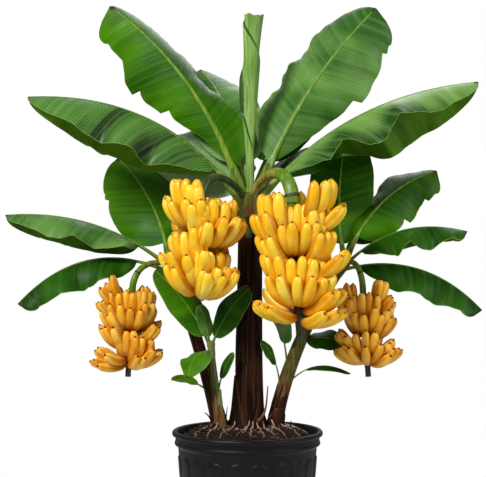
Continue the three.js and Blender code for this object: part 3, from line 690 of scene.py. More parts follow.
# How unevenly the fingers of a hand point, in degrees, and how much more unevenly they lift. Their
# lengths and girths are shares of the bunch's, from the first up to both together.
FINGER_UNEVEN, LIFT_UNEVEN = {"yellow_fruit": 5, "golden_fruit": 11}, 1.4
LENGTHS, GIRTHS = (0.94, 0.12), (0.94, 0.14)
# The core tapers to a share of its girth. It swells to a cushion behind each row and is knobbly below.
CORE_TAPER, CORE_ROWS, CORE_SIDES, CUSHION_TALL = 0.9, 90, 20, 13
KNOB_STANDS, KNOB_TALL, KNOBS_ROUND, GREEN_TO = 0.16, 7, 3, 0.16
# A skin's painted shade at the neck, as shares of the red, green and blue of its ripe shade, and its other
# paints.
NECK_TONE, NIB_TONE, FRECKLE = (0.78, 0.56, 0.32), (176, 140, 30), (120, 66, 14)
# How strongly the tones show: on ridges, as painted shade towards the neck and on the sides that touch the
# next fingers, at the nib and as freckles. The neck's painted shade reaches up to a share of the finger,
# and the nib's tone starts at another.
ON_RIDGES, NECK_SHADE, SIDE_SHADE, AT_NIB, FRECKLED, NECK_TO, NIB_FROM = 0.4, 0.85, 0.55, 0.35, 0.8, 0.62, 0.84
# Each skin is its ground paint, its lit patches and its ripe shade.
SKIN_PAINTS = {
    "yellow_fruit": {
        "yellow_skin": [(250, 196, 20), (255, 216, 52), (232, 160, 8)],
        "golden_skin": [(248, 188, 16), (254, 206, 40), (228, 150, 6)],
        "light_skin": [(252, 206, 36), (255, 226, 84), (236, 170, 14)],
        "deep_skin": [(244, 180, 12), (251, 198, 32), (224, 144, 6)],
    },
    "golden_fruit": {
        "warm_skin": [(240, 172, 26), (250, 194, 58), (218, 138, 12)],
        "amber_skin": [(232, 160, 18), (244, 180, 40), (206, 124, 8)],
        "ripe_skin": [(242, 178, 36), (250, 200, 72), (222, 144, 16)],
        "orange_skin": [(226, 150, 14), (240, 172, 32), (198, 114, 6)],
    },
}


def skin(name, paint, lit, shade):
    """Banana skin: waxy and even, deeper in patches, with painted shade towards the neck and on the sides
    that lie against the next fingers, and small brown freckles."""
    made, wire = material(name, Specular_IOR_Level=0.4)
    around, up = wire.on_map()
    shaded_sides = (around * (2 * TURN)).maths("COSINE").between(0.3, 1)
    patch = wire.noise(scale=26, detail=3)
    fleck = wire.noise(scale=150, detail=3, stretch=(1, 1, 0.45)).between(0.68, 0.76)
    ridge = wire.noise(scale=110, stretch=(1, 1, 0.15))
    brown = colour(*[share * part for share, part in zip(NECK_TONE, shade)])
    tint = patch.between(0.38, 0.66).mixed(colour(*paint), colour(*lit))
    tint = (ridge.between(0.5, 0.8) * ON_RIDGES).mixed(tint, colour(*shade))
    # Painted shade: the skin darkens towards the neck and on the sides that touch the next fingers.
    tint = ((NECK_TO - up).between(0, 0.5) * NECK_SHADE).mixed(tint, brown)
    tint = (shaded_sides * SIDE_SHADE).mixed(tint, brown)
    tint = ((up - NIB_FROM).between(0, 1 - NIB_FROM) * AT_NIB).mixed(tint, colour(*NIB_TONE))
    feed(
        made,
        Base_Color=(fleck * FRECKLED).mixed(tint, colour(*FRECKLE)),
        Roughness=0.28 + 0.16 * patch,
        Normal=relief(patch + 0.4 * ridge, depth=0.0014, strength=0.5),
    )
    return made


SKINS = {slot: [skin(name, *paints) for name, paints in kind.items()] for slot, kind in SKIN_PAINTS.items()}
NIBS = {
    "yellow_fruit": fibrous("brown_nib", (112, 80, 26), grain=300, rough=0.8),
    "golden_fruit": fibrous("black_nib", (40, 24, 14), grain=300, rough=0.8),
}
neck = fibrous("neck", (150, 116, 16), (206, 150, 24), 200, 0.3, 0.6)
green_stalk = fibrous("green_stalk", (82, 120, 22), (118, 150, 44), 90, 0.3, 0.42, 0.1)
# A darker green for the stalk that runs behind the leaf stalks: painted shade.
shaded_stalk = fibrous("shaded_stalk", (36, 62, 14), (66, 92, 30), 90, 0.35, 0.42, 0.1)
olive_stalk = fibrous("olive_stalk", (116, 114, 38), (162, 152, 74), 90, 0.35, 0.42)
scar = fibrous("scar", (52, 52, 20), (84, 84, 40), 200, 0.3, 0.6)
rachis = fibrous("rachis", (40, 44, 22), (80, 82, 44), 160, 0.3, 0.6)


def bump(values, middle, wide, power=2):
    """Rises smoothly from 0 to 1 where a value is the middle one, and falls to 0 again."""
    return np.exp(-(((values - middle) / wide) ** power))


def chance(seed):
    """A number from 0 to 1 that looks random and depends on the seed alone."""
    spread = math.sin(seed * 78.233) * 43758.5453
    return spread - math.floor(spread)


def finger(shell, place, bearing, length, lifts, girth, finish):
    """One banana, which bends up in the plane of its bearing from its first lift to its last."""
    share, girths = np.array(FINGER_GIRTHS).T
    lift = lifts[0] + (lifts[1] - lifts[0]) * (1 - (1 - share) ** FINGER_BEND)
    step, lift = length * np.diff(share), halfway(lift)
    reach = np.concatenate([[0], np.cumsum(step * np.cos(lift))])
    rise = np.concatenate([[0], np.cumsum(step * np.sin(lift))])
    out = np.array([math.cos(bearing), math.sin(bearing), 0.0])
    line = place + out * reach[:, None] + UP * rise[:, None]
    edges = 1 + EDGE_STANDS * np.cos(FINGER_EDGES * circle(FINGER_SIDES) + bearing * 7)
    middle = halfway(share)
    kinds = np.where(middle < NECK, NECK_FINISH, np.where(middle > NIB, NIB_FINISH, finish))
    sideways = (-math.sin(bearing), math.cos(bearing), 0)
    shell.tube(rings(line, girth / 2 * girths[:, None] * edges, FINGER_SIDES, sideways), kinds[:, None])


core_drops, core_angles = np.linspace(0, 1, CORE_ROWS), circle(CORE_SIDES)


def hand(shell, bunch, number, uneven, below, bearing, spread, count, rows, first, last, cushion=0):
    """Adds the fingers of one hand, and returns how far it makes the core swell along and around it."""
    start, end = np.array(bunch["top"], float), np.array(bunch["foot"], float)
    tall, stand = start[2] - end[2], 0.5 * bunch["core"] + cushion
    window = 0.5 + 0.5 * np.cos(np.clip(core_angles - math.radians(bearing), -math.pi, math.pi))
    swell = 0
    for row in range(rows):
        drop = below + row * ROW_DROP * bunch["length"]
        centre = start + (end - start) * drop / tall
        near = bump(core_drops * tall, drop, CUSHION_TALL)
        swell = np.maximum(swell, stand * near[:, None] * window[None] ** 2)
        for i in range(count):
            seed = number * 100 + row * 30 + i + start[0]
            place = (i + 0.25 + 0.5 * (row % 2)) / count - 0.5
            facing = math.radians(bearing + spread * place + uneven * (chance(seed) - 0.5))
            out = np.array([math.cos(facing), math.sin(facing), 0.0])
            long = bunch["length"] * (LENGTHS[0] + LENGTHS[1] * chance(seed + 0.3)) + 0.5 * bunch["core"]
            stray = LIFT_UNEVEN * uneven * (chance(seed + 0.6) - 0.5)
            lifts = np.radians([first - row * ROOT_FLATTER - stray, last - row * END_FLATTER - stray])
            wide = bunch["girth"] * (GIRTHS[0] + GIRTHS[1] * chance(seed + 0.8))
            finish = int(4 * chance(seed + 0.9))
            finger(shell, centre + out * stand, facing, long, lifts, wide, finish)
    return swell


def core(shell, bunch, swell):
    """The bunch's core, green at its top, with its cushions and the knobs of fallen flowers."""
    start, end = np.array(bunch["top"], float), np.array(bunch["foot"], float)
    drops, knobs = core_drops[:, None], np.zeros((CORE_ROWS, CORE_SIDES))
    for row, column in np.ndindex(knobs.shape):
        x, y = math.cos(core_angles[column]), math.sin(core_angles[column])
        down = core_drops[row] * (start[2] - end[2]) / KNOB_TALL
        knobs[row, column] = ruggedness(KNOBS_ROUND * x, KNOBS_ROUND * y, down)
    radius = bunch["core"] * (1 + (CORE_TAPER - 1) * drops) + swell
    radius = radius * (1 + KNOB_STANDS * knobs * smooth(drops * 3))
    line = start + (end - start) * drops
    kinds = np.where(drops[1:] < GREEN_TO, CORE_GREEN, CORE_BROWN)
    shell.tube(rings(line, radius, CORE_SIDES, RIGHT), kinds)


def bunch_stalk(name, top, stem, height, rise, lead, fall, radii, scar_at, olive_to):
    """The stalk from the stem over to the bunch's top, which is a little thicker past its scar."""
    start = np.array(top, float)
    begin = stem_point(STEMS[stem], height, start, 0.3)
    over = begin + (start - begin) * lead
    over[2] = begin[2] + rise
    share = np.linspace(0, 1, STALK_ROWS)
    line = bezier([begin, over, start + UP * fall, start + UP * 0.3], share)
    radius = along(radii, share)[:, None] * (1 + 0.05 * np.cos(3 * core_angles + 1))
    thicker = 0.1 * bump(share, scar_at, SCAR_WIDE) + 0.05 * smooth((share - scar_at - 0.01) / 0.02)
    radius = radius * (1 + thicker)[:, None]
    middle = halfway(share)
    on_scar = np.abs(middle - scar_at) < SCAR_WIDE
    kinds = np.where(on_scar, 1, np.where(middle < olive_to, 2, 0))
    sideways = unit(np.cross(start - begin, UP))
    shell = Shell()
    shell.tube(rings(line, radius, CORE_SIDES, sideways), kinds[:, None])
    parts = ["_stalk_rise", "_stalk_fall"] if name.startswith("upper") else ["_stalk"]
    green = shaded_stalk if name == "upper_left" else green_stalk
    solids = [name + part for part in parts]
    shell.piece(f"{name}_bunch_stalk", [green, scar, olive_stalk], "stalk", *solids)


for name, bunch in BUNCHES.items():
    slot = "yellow_fruit" if name.startswith("upper") else "golden_fruit"
    fruit = Shell()
    swell = np.zeros((CORE_ROWS, CORE_SIDES))
    for number, spec in enumerate(bunch["hands"]):
        swell = np.maximum(swell, hand(fruit, bunch, number, FINGER_UNEVEN[slot], *spec))
    core(fruit, bunch, swell)
    finishes = [*SKINS[slot], neck, NIBS[slot], green_stalk, rachis]
    fruit.piece(f"{name}_bananas", finishes, slot, f"{name}_bunch")
    bunch_stalk(name, bunch["top"], *STALKS[name])

# The leaves. Each grows from its stem on a channelled stalk whose foot clasps the stem, and its midrib
# runs on through a thin glossy blade, pleated by fine cross veins, that ripples and splits at its edge.

# A leaf is named after its stem. It is its height there, tip, bow, sway, width, bare share, roll at foot
# and tip, fold, stalk's girth, tint and, where its widest place lies towards the tip, a skew over 1.
LEAVES = {
    "main_upper_left": [1052, [-410, 100, 1636], 60, 0, 312, 0.14, [60, 58], -42, 24, "bright", 1.7],
    "main_upper_right": [1060, [384, 100, 1630], 38, 0, 312, 0.17, [-62, -58], -34, 24, "green", 1.7],
    "main_arch_left": [1040, [-640, 0, 1354], 100, 0, 322, 0.17, [-4, -8], -60, 22, "glossy"],
    "main_arch_right": [1046, [672, 0, 1398], 80, 0, 326, 0.15, [10, 8], -58, 22, "arched"],
    "main_back_left": [1064, [-148, 350, 1477], 60, 0, 250, 0.2, [20, 10], -16, 22, "green"],
    "main_pale_left": [1030, [-304, 280, 1240], 62, 0, 260, 0.12, [46, 36], -12, 22, "pale"],
    "main_back_right": [1056, [298, 420, 1518], 60, 0, 220, 0.2, [-12, -12], -16, 22, "deep"],
    "main_droop_back": [1048, [-170, 600, 1150], 130, 0, 240, 0.18, [0, 0], -30, 22, "deep"],
    "main_droop_right": [1040, [370, 520, 1186], 110, 0, 220, 0.18, [0, 0], -30, 20, "deep"],
    "main_low_right": [1020, [150, 150, 950], 90, 0, 130, 0.2, [-30, -10], -24, 16, "deep"],
    "left_oval": [874, [-402, 260, 1191], 16, 30, 268, 0.16, [30, 28], -10, 18, "bright"],
    "left_outer": [862, [-705, 0, 1010], 50, 0, 200, 0.2, [-12, -12], -44, 18, "green"],
    "left_low": [842, [-669, 0, 751], 83, 0, 190, 0.2, [0, 0], -50, 18, "deep"],
    "left_back": [868, [-190, 460, 1076], 70, 0, 190, 0.18, [10, 0], -24, 18, "deep"],
    "right_oval": [876, [316, 200, 1290], 10, -24, 208, 0.12, [0, 0], -8, 18, "bright"],
    "right_upper": [868, [574, 160, 1147], 52, 0, 206, 0.2, [-46, -46], -36, 18, "bright"],
    "right_outer": [862, [640, 0, 962], 54, 0, 180, 0.16, [0, 0], -36, 16, "deep"],
    "right_low": [850, [683, 0, 733], 64, 0, 190, 0.12, [0, 0], -50, 16, "deep"],
    "right_back": [866, [470, 440, 1010], 70, 0, 190, 0.18, [-10, 0], -24, 18, "deep"],
    "sucker_left": [630, [-268, -24, 850], 16, 0, 104, 0.12, [60, 60], -14, 9, "bright"],
    "sucker_up": [640, [-141, -30, 752], 6, 0, 52, 0.14, [80, 80], -10, 8, "green"],
    "sucker_right": [636, [8, -46, 800], 14, 0, 96, 0.1, [-62, -62], -12, 9, "deep"],
    "sucker_front": [616, [-170, -84, 545], 26, 0, 108, 0.12, [0, 0], -12, 9, "bright"],
    "sucker_low": [500, [-40, -36, 612], 8, 0, 32, 0.3, [-80, -80], -8, 7, "deep"],
    "left_foot": [492, [-222, 4, 530], 12, 0, 34, 0.3, [225, 225], -20, 8, "bright"],
    "right_foot_up": [560, [74, -6, 768], 10, 0, 100, 0.34, [200, 200], -8, 9, "green"],
    "right_foot_side": [640, [284, 0, 630], 16, 0, 84, 0.06, [-40, -40], -12, 8, "deep"],
    "right_foot_in": [490, [38, -26, 642], 26, 0, 42, 0.46, [80, 80], -10, 8, "deep"],
    "right_foot_out": [520, [300, 0, 548], 34, 0, 40, 0.3, [0, 0], -40, 8, "deep"],
}
# Where a half hangs unevenly: its fold from the blade's foot to its tip, on the left and on the right.
HANGS = {
    "main_upper_left": {-1: [-42], 1: [-6, -6, -10, -21, -36, -48, -51, -51, -51, -51, -51]},
    "main_upper_right": {-1: [-8, -12, -16, -26, -34, -36, -36, -34, -34, -34, -34], 1: [-34]},
    "main_arch_left": {
        -1: [-28, -41, -49, -65, -48, -48, -60, -53, -46, -41, -36],
        1: [-28, -38, -52, -62, -64, -60, -66, -60, -52, -44, -34],
    },
    "main_arch_right": {
        -1: [-4, -6, -10, -18, -36, -68, -56, -52, -53, -50, -40],
        1: [-22, -27, -38, -25, -43, -48, -28, -36, -42, -43, -40],
    },
    "left_low": {-1: [-50, -62, -46, -40, -56, -64, -50, -42, -54, -60, -50], 1: [-50]},
    "left_outer": {-1: [-44, -32, -50, -62, -48, -38, -52, -60, -48, -42, -44], 1: [-44]},
    "right_low": {-1: [-50], 1: [-40, -44, -62, -66, -48, -42, -56, -66, -50, -42, -50]},
    "right_outer": {-1: [-36], 1: [-36, -26, -44, -60, -38, -24, -48, -62, -38, -26, -36]},
}
# Where a half's edge strays from the oval: its width's share of the oval from foot to tip.
BLUNT = [1, 1, 1, 1, 1, 1, 1, 1, 1, 1.08, 1.8]
MARGINS = {
    **{name: {-1: BLUNT, 1: BLUNT} for name in ("left_low", "right_low", "right_outer", "right_upper")},
    "main_upper_left": {
        -1: [0.5, 0.5, 0.65, 0.88, 0.96, 1.05, 1.06, 0.93, 0.76, 0.82, 1.45],
        1: [2.2, 1.75, 1.25, 0.88, 0.86, 0.93, 0.97, 1, 1.03, 1.04, 1],
    },
    "main_arch_right": {1: [1.2, 1.2, 1.12, 1, 1, 1, 1, 1, 1, 1, 1]},
    "main_upper_right": {
        -1: [1.9, 1.7, 1.52, 1.36, 1.22, 1.14, 1.08, 1.04, 1, 1, 1.2],
        1: [0.9, 0.9, 0.9, 0.95, 1, 1, 1, 1, 0.98, 0.95, 1.3],
    },
}
# Where an edge has split along a vein: its side, its share of the blade and the share of width lost.
SPLITS_AT = {
    "main_upper_left": [(-1, 0.609, 0.2), (-1, 0.419, 0.22)],
    "main_upper_right": [(1, 0.868, 0.14), (1, 0.54, 0.16)],
    "left_oval": [(-1, 0.65, 0.12)],
    "right_upper": [(1, 0.8, 0.18), (1, 0.46, 0.2)],
    "main_back_right": [(-1, 0.6, 0.2)],
    "main_droop_back": [(1, 0.45, 0.2), (-1, 0.7, 0.15)],
    "right_back": [(1, 0.6, 0.2)],
}
# A blade's thickness, how blunt its oval is, how wide its tip, how far its rows are apart and the strip
# of its edge, which is paler. Its edge strays by a share of its width, and has small nicks.
BLADE_THICK, BLADE_BLUNT, TIP_WIDTH, ROW_APART, EDGE_STRIP = 1.5, 0.42, 3, 8, 1.4
EDGE_UNEVEN, NICKS, NICKED_FROM, SPLIT_CLOSES, NICK_CLOSES = 0.016, 2, 150, 0.1, 0.03
# A half bends by a share of its fold at the midrib and more towards its edge, and its edge rises and
# falls by a share of its width. A fold that isn't listed above swings by so many degrees.
FOLD_FIRST, FOLD_MORE, LEAST_BEND, RIPPLED, FOLD_SWING = 0.55, 0.9, 0.02, 0.07, 5
# The waves of an edge: their length, and their share of its rise and fall.
WAVES = [(250, 0.65), (135, 0.4), (68, 0.18), (34, 0.07)]
# A leaf's finishes, and the share of its width that has dried at its tip.
UPPER, UNDER, EDGE, DRIED, RIB_TOP, STALK, RIB_UNDER, SHEATH, SHEATH_RIM, STALK_RIM = range(10)
DRIED_SHARE = 0.03
# The stalk's foot lies in the stem at a share of its radius. Stalks are wider there by a share, which
# fades over a share of the leaf, and most of all on the main stem.
LEAF_OUT, FOOT_WIDER, MAIN_FOOT_WIDER = 0.55, (0.25, 0.05), (0.9, 0.17)
RIB_ROWS, RIB_SIDES, RIB_TAPER, RIB_LEAST, RIB_FLAT = 80, 16, 0.8, 1.6, 0.8
CHANNEL_DEEP, CHANNEL_WIDE, RIB_SUNK, RIB_SHOWS = 0.85, 0.5, 0.3, 0.5
# These grow from a stem's foot and don't clasp it.
CLEAN_FEET = ("left_foot", "right_foot_up", "right_foot_side", "right_foot_in", "right_foot_out")
# The layers that the other leaves' feet end in: their body and their rim.
FOOT_SHEATHS = {"main": ("olive_sheath", "green_sheath"), "sucker": ("pale_sheath", "pale_sheath")}
YOUNG_SHEATHS = ("green_sheath", "olive_sheath")
# How far apart a blade's veins are along the map, how far they lean to the tip, and the sizes of the pleats
# and of the bands of painted light and shade over it.
VEIN_APART, VEIN_LEAN, PLEATS_A_METRE, BANDS_A_METRE = 0.0076, 0.42, 40, 12
# The light of a green: how much it has from patches, its even part, and where its edge's part is none.
PATCHED, EVEN_LIGHT, EDGE_FROM = 0.6, 0.245, 0.08
# The deep and bright greens of the upper sides and the green of their painted sheen, what else they differ
# in, and the undersides', which are painted brighter as painted light shining through the blade.
UPPER_GREENS = {
    "deep": [(18, 56, 4), (50, 110, 8), (80, 126, 36)],
    "glossy": [(10, 44, 4), (84, 136, 50), (132, 168, 100)],
    "arched": [(28, 76, 8), (122, 168, 78), (160, 190, 124)],
    "green": [(42, 94, 20), (118, 166, 76), (150, 182, 120)],
    "bright": [(34, 86, 2), (74, 134, 6), (98, 152, 24)],
    # pale: partly the leaf's own paler green, partly painted light that lightens it where it hangs in
    # shade.
    "pale": [(120, 158, 98), (160, 192, 130), (190, 210, 166)],
}
# Besides gloss, the upper sides differ in how strongly their painted sheen and their bands of painted light
# and shade show; a negative edgewise paints light along the midrib, the crest of an arched leaf.
UPPER_FINISH = {
    "deep": {"shine": 0.12},
    "glossy": {
        "shine": 0.22, "rough": 0.32, "veins": 0.7, "pleat_sheen": 0.28, "bands": 0.8,
        "edgewise": -1.4, "tipward": -0.16,
    },
    "arched": {"shine": 0.16, "veins": 0.5, "pleat_sheen": 0.2, "edgewise": -2.8},
    "green": {"pleat_sheen": 0.16, "tipward": 0.3},
    "bright": {"shine": 0.12},
    "pale": {},
}
# The undersides are painted brighter than the upper sides: painted light, standing in for light shining
# through the blade.
UNDER_GREENS = {
    "deep": [(48, 90, 6), (80, 132, 18), (100, 148, 40)],
    "glossy": [(64, 112, 8), (108, 160, 24), (120, 170, 44)],
    "arched": [(56, 98, 8), (88, 140, 24), (110, 154, 46)],
    "green": [(56, 98, 8), (88, 140, 24), (110, 154, 46)],
    "bright": [(68, 116, 6), (104, 158, 20), (124, 172, 44)],
    "pale": [(80, 124, 60), (112, 150, 86), (140, 170, 114)],
}
# How strongly the undersides' painted sheen shows on the pleats, and their roughness and shine.
UNDER_PLEAT_SHEEN, UNDER_ROUGH, UNDER_SHINE = 0.25, 0.5, {"pale": 0.15}
MIDRIB_PAINTS = {
    "deep": [(72, 112, 26), (104, 136, 46)],
    "glossy": [(60, 98, 26), (96, 130, 50)],
    "arched": [(88, 126, 36), (120, 150, 58)],
    "green": [(96, 134, 38), (128, 156, 62)],
    "bright": [(92, 128, 26), (128, 154, 50)],
    "pale": [(120, 150, 80), (146, 172, 104)],
}


def veined(
    name, greens, pleat_sheen=0.18, rough=0.36, shine=0.18, veins=0.4, bands=0.35, edgewise=0.9, tipward=0
):
    """A blade's surface. Fine veins leave the midrib at nearly a right angle and lean to the tip, over low
    pleats of uneven width, which carry a painted sheen. The green runs from deep to bright in bands of
    painted light and shade, brighter at the edge by edgewise or, below 0, at the midrib, where it is
    painted light on an arched leaf's crest, and deeper at a long leaf's tip by tipward."""
    deep, bright, sheen = greens
    made, wire = material(name, Specular_IOR_Level=shine)
    across, up = wire.on_map()
    from_rib = (across - 0.5).maths("ABSOLUTE")
    vein = up - VEIN_LEAN * from_rib
    on_line = {"noise_dimensions": "1D"}
    pleat = vein.node("ShaderNodeTexNoise", on_line, {"W": vein * PLEATS_A_METRE, "Scale": 1, "Detail": 2})
    broad = vein.node("ShaderNodeTexNoise", on_line, {"W": vein * BANDS_A_METRE, "Scale": 1, "Detail": 1})
    fine = (vein * (TURN / VEIN_APART) + pleat * 5).maths("SINE") * 0.5 + 0.5
    patch = wire.noise(scale=5.5, detail=3)
    # Painted light and shade: the bands, and with a negative edgewise a lighter crest along the midrib.
    light = patch * PATCHED + (broad - 0.5) * bands + (from_rib - EDGE_FROM) * edgewise + EVEN_LIGHT
    light = light - (up - 0.5).between(0, 0.2) * tipward
    green = light.between(0.38, 0.68).mixed(colour(*deep), colour(*bright))
    # Painted sheen on the pleats.
    green = (pleat.between(0.42, 0.66) * pleat_sheen).mixed(green, colour(*sheen))
    drawn = fine.between(0.3, 1) * patch.between(0.28, 0.56) * veins
    feed(
        made,
        Base_Color=drawn.mixed(green, colour(*[0.5 * part for part in deep])),
        Roughness=rough + 0.16 * pleat,
        Normal=relief(broad * 1.2 + pleat * 0.7 + fine * 0.03, depth=0.004, strength=0.5),
    )
    return made


UPPERS, UNDERS, RIB_TOPS = {}, {}, {}
for tint, greens in UPPER_GREENS.items():
    UPPERS[tint] = veined(f"{tint}_blade", greens, **UPPER_FINISH[tint])
for tint, greens in UNDER_GREENS.items():
    shine = UNDER_SHINE.get(tint, 0.12)
    UNDERS[tint] = veined(f"{tint}_underside", greens, UNDER_PLEAT_SHEEN, UNDER_ROUGH, shine)
for tint, paints in MIDRIB_PAINTS.items():
    RIB_TOPS[tint] = fibrous(f"{tint}_midrib", *paints, 90, 0.25, 0.42)
edge = fibrous("blade_edge", (104, 140, 50), (142, 166, 84), 200, 0.2, 0.5)
scorched = fibrous("scorched_edge", (44, 32, 22), (96, 74, 48), 260, 0.2, 0.85)
petiole = fibrous("leaf_stalk", (88, 116, 30), (126, 148, 56), 90, 0.25, 0.42, 0.1)
stalk_rim = fibrous("leaf_stalk_rim", (122, 144, 50), (146, 162, 76), 90, 0.3, 0.42, 0.1)
rib_under = fibrous("rib_underside", (88, 122, 28), (120, 148, 54), 90, 0.3, 0.42)


class Midrib:
    """A leaf's line, from its foot on the stem to its tip, and the roll of its blade along it."""

    def __init__(self, foot, tip, bow, sway, roll):
        self.foot, self.tip, self.roll = foot, np.array(tip, float), roll
        chord = self.tip - foot
        right = unit(np.cross(chord, UP))
        above = unit(np.cross(right, chord))
        self.middle = (foot + self.tip) / 2 + above * 2 * bow + right * 2 * sway
        steps = np.diff(self.line(np.linspace(0, 1, 60)), axis=0)
        self.length = np.linalg.norm(steps, axis=1).sum()

    def line(self, places):
        return bezier([self.foot, self.middle, self.tip], places)

    def frames(self, places):
        """The line's points there, and the blade's right and its normal at each."""
        first, last = self.middle - self.foot, self.tip - self.middle
        tangent = unit((1 - places[:, None]) * first + places[:, None] * last)
        flat = unit(np.cross(tangent, UP))
        turn = np.radians(self.roll[0] + (self.roll[1] - self.roll[0]) * places)[:, None]
        side = flat * np.cos(turn) + np.cross(flat, tangent) * np.sin(turn)
        return self.line(places), side, np.cross(side, tangent)


def ripple(rng, share, length):
    """A wavy edge's rise and fall along the blade, from about -1 to 1: long waves with short ones on."""
    value = 0
    for wave, size in WAVES:
        turns = share * length / (wave * rng.uniform(0.85, 1.2)) + rng.uniform()
        value = value + size * np.sin(TURN * turns)
    return value


def half_width(rng, name, way, share, length, width, girth, skew):
    """The width of the half of a blade on one way, -1 or 1, at shares of its length: an oval with its
    margin's own form, splits and nicks."""
    oval = np.sin(math.pi * np.clip(share, 0, 1) ** skew) ** BLADE_BLUNT
    half = np.maximum(np.maximum(width / 2 * oval, girth / 2 * (1 - share)), TIP_WIDTH / 2)
    half = half * along(MARGINS.get(name, {}).get(way, [1]), share)
    for at, where, lost in SPLITS_AT.get(name, []):
        if at == way:
            below = np.maximum(where - share, 0)
            half = half * (1 - lost * np.exp(-below / SPLIT_CLOSES) * (share < where))
    half = half * (1 + EDGE_UNEVEN * ripple(rng, share, length))
    for _ in range(NICKS if width > NICKED_FROM else 0):
        below = rng.uniform(0.25, 0.94) - share
        lost = rng.uniform(0.015, 0.045) * (below > 0)
        half = half * (1 - lost * np.exp(-np.maximum(below, 0) / NICK_CLOSES))
    return half


def hanging(rng, name, way, half, share, length, fold, lanes):
    """The shares of the way across half a blade, and how far out and how far up it lies at each."""
    strip = np.minimum(EDGE_STRIP / half, 0.3)[:, None]
    lane = np.linspace(0, 1, lanes + 1)[None] * (1 - strip)
    across = np.concatenate([lane, np.ones((len(share), 1))], axis=1)
    swing = FOLD_SWING * np.sin(TURN * (share * rng.uniform(1.2, 2.2) + rng.uniform()))
    hang = along(HANGS[name][way], share) if name in HANGS else fold + swing
    bend = np.radians(hang)[:, None]
    bend = np.where(np.abs(bend) < LEAST_BEND, LEAST_BEND, bend)
    lean = bend * (FOLD_FIRST + FOLD_MORE * across)
    out = (np.sin(lean) - np.sin(bend * FOLD_FIRST)) / (FOLD_MORE * bend)
    rise = (np.cos(bend * FOLD_FIRST) - np.cos(lean)) / (FOLD_MORE * bend)
    waves = ripple(rng, share, length) * np.sin(math.pi * np.clip(share, 0.02, 0.98)) ** 0.5
    lift = (RIPPLED * half * waves)[:, None] * across**1.8
    sideways = way * (half[:, None] * out - lift * np.sin(lean))
    return across, sideways, half[:, None] * rise + lift * np.cos(lean)


def blade(shell, rng, name, rib, width, bare, fold, girth, skew):
    """The blade: a thin closed sheet, whose map has its width and its length in metres."""
    rows = int(np.clip(rib.length * (1 - bare) / ROW_APART, 22, 96))
    lanes = 9 if width > 120 else 5
    even = np.linspace(0, 1, rows)
    share = 0.55 * (1 - np.cos(math.pi * even)) / 2 + 0.45 * even
    places = bare + (1 - bare) * share
    line, side, normal = rib.frames(places)
    sheets, spans = {}, {}
    for way in (-1, 1):
        half = half_width(rng, name, way, share, rib.length, width, girth, skew)
        across, out, up = hanging(rng, name, way, half, share, rib.length, fold, lanes)
        sheets[way] = beside(line, side, normal, out, up)
        spans[way] = way * across * half[:, None]
    sheet = np.concatenate([sheets[-1][:, ::-1], sheets[1][:, 1:]], axis=1)
    span = np.concatenate([spans[-1][:, ::-1], spans[1][:, 1:]], axis=1)
    facing = unit(np.cross(np.gradient(sheet, axis=1), np.gradient(sheet, axis=0)))
    thick = 0.5 * BLADE_THICK * (1 - 0.4 * np.abs(span) / np.abs(span).max())[..., None]
    grid = np.concatenate([sheet + facing * thick, (sheet - facing * thick)[:, ::-1]], axis=1)
    columns = sheet.shape[1]
    round_it = np.concatenate([span, span[:, ::-1]], axis=1)
    kinds = np.full((rows - 1, 2 * columns), UNDER)
    kinds[:, : columns - 1] = UPPER
    kinds[:, [0, columns - 2, columns - 1, columns, 2 * columns - 2, 2 * columns - 1]] = EDGE
    dried = DRIED_SHARE * width
    at_tip = (share[1:, None] > 1 - dried / rib.length) & (np.abs(round_it)[1:] < dried)
    across = 0.5 + np.concatenate([round_it, span[:, :1]], axis=1) * MM
    upward = np.repeat((places * rib.length * MM)[:, None], 2 * columns + 1, axis=1)
    shell.tube(grid, np.where(at_tip, DRIED, kinds), np.stack([across, upward], axis=-1))


def stalk_and_midrib(shell, rib, width, bare, girth, foot_wider):
    """The leaf's stalk, channelled on top, which runs on under the blade as its midrib."""
    places = np.linspace(0, 1, RIB_ROWS)
    line, side, normal = rib.frames(places)
    on_blade = smooth((places - bare * 0.8) / (bare * 0.5))[:, None]
    wider, fades = foot_wider
    taper = (1 - RIB_TAPER * places**0.8 + wider * np.exp(-places / fades))[:, None]
    wide = np.maximum(girth / 2 * taper * (1 - 0.2 * on_blade), RIB_LEAST)
    angles = circle(RIB_SIDES)[None]
    hollow = bump(np.cos(angles), 0, CHANNEL_WIDE) * (np.sin(angles) > 0)
    channel = 1 - CHANNEL_DEEP * (1 - on_blade) * hollow
    y = RIB_FLAT * wide * np.sin(angles) * channel - (RIB_SUNK * wide - RIB_SHOWS) * on_blade
    facing = angles + TURN / (2 * RIB_SIDES)
    past = places[1:, None]
    bare_kinds = np.where(np.abs(np.cos(facing)) > 0.96, STALK_RIM, STALK)
    kinds = np.where(past > bare, np.where(np.sin(facing) > 0, RIB_TOP, RIB_UNDER), bare_kinds)
    kinds = np.where(past > 1 - DRIED_SHARE * width / rib.length, DRIED, kinds)
    shell.tube(beside(line, side, normal, wide * np.cos(angles), y), kinds)


def clasping_foot(shell, rng, stem, height, tip, girth, reaching):
    """The foot of the leaf's stalk, which widens downwards to clasp the stem."""
    centre = stem_line(stem, stem_share(stem, height))[0]
    bearing = math.atan2(tip[1] - centre[1], tip[0] - centre[0])
    radius = float(stem_radius(stem, height))
    heights = [height - radius * rng.uniform(3.2, 5.5) * reaching, height + 4]
    narrow = math.asin(min(0.95, 0.55 * girth / radius))
    lifts = [-2.5, 0.06 * radius, 0.12 * radius, 0.42 * radius]
    finish = (SHEATH_RIM, SHEATH)
    clasp(shell, stem, bearing, heights, [1.7, 1.4, 1.0, narrow], lifts, finish, rows=22)


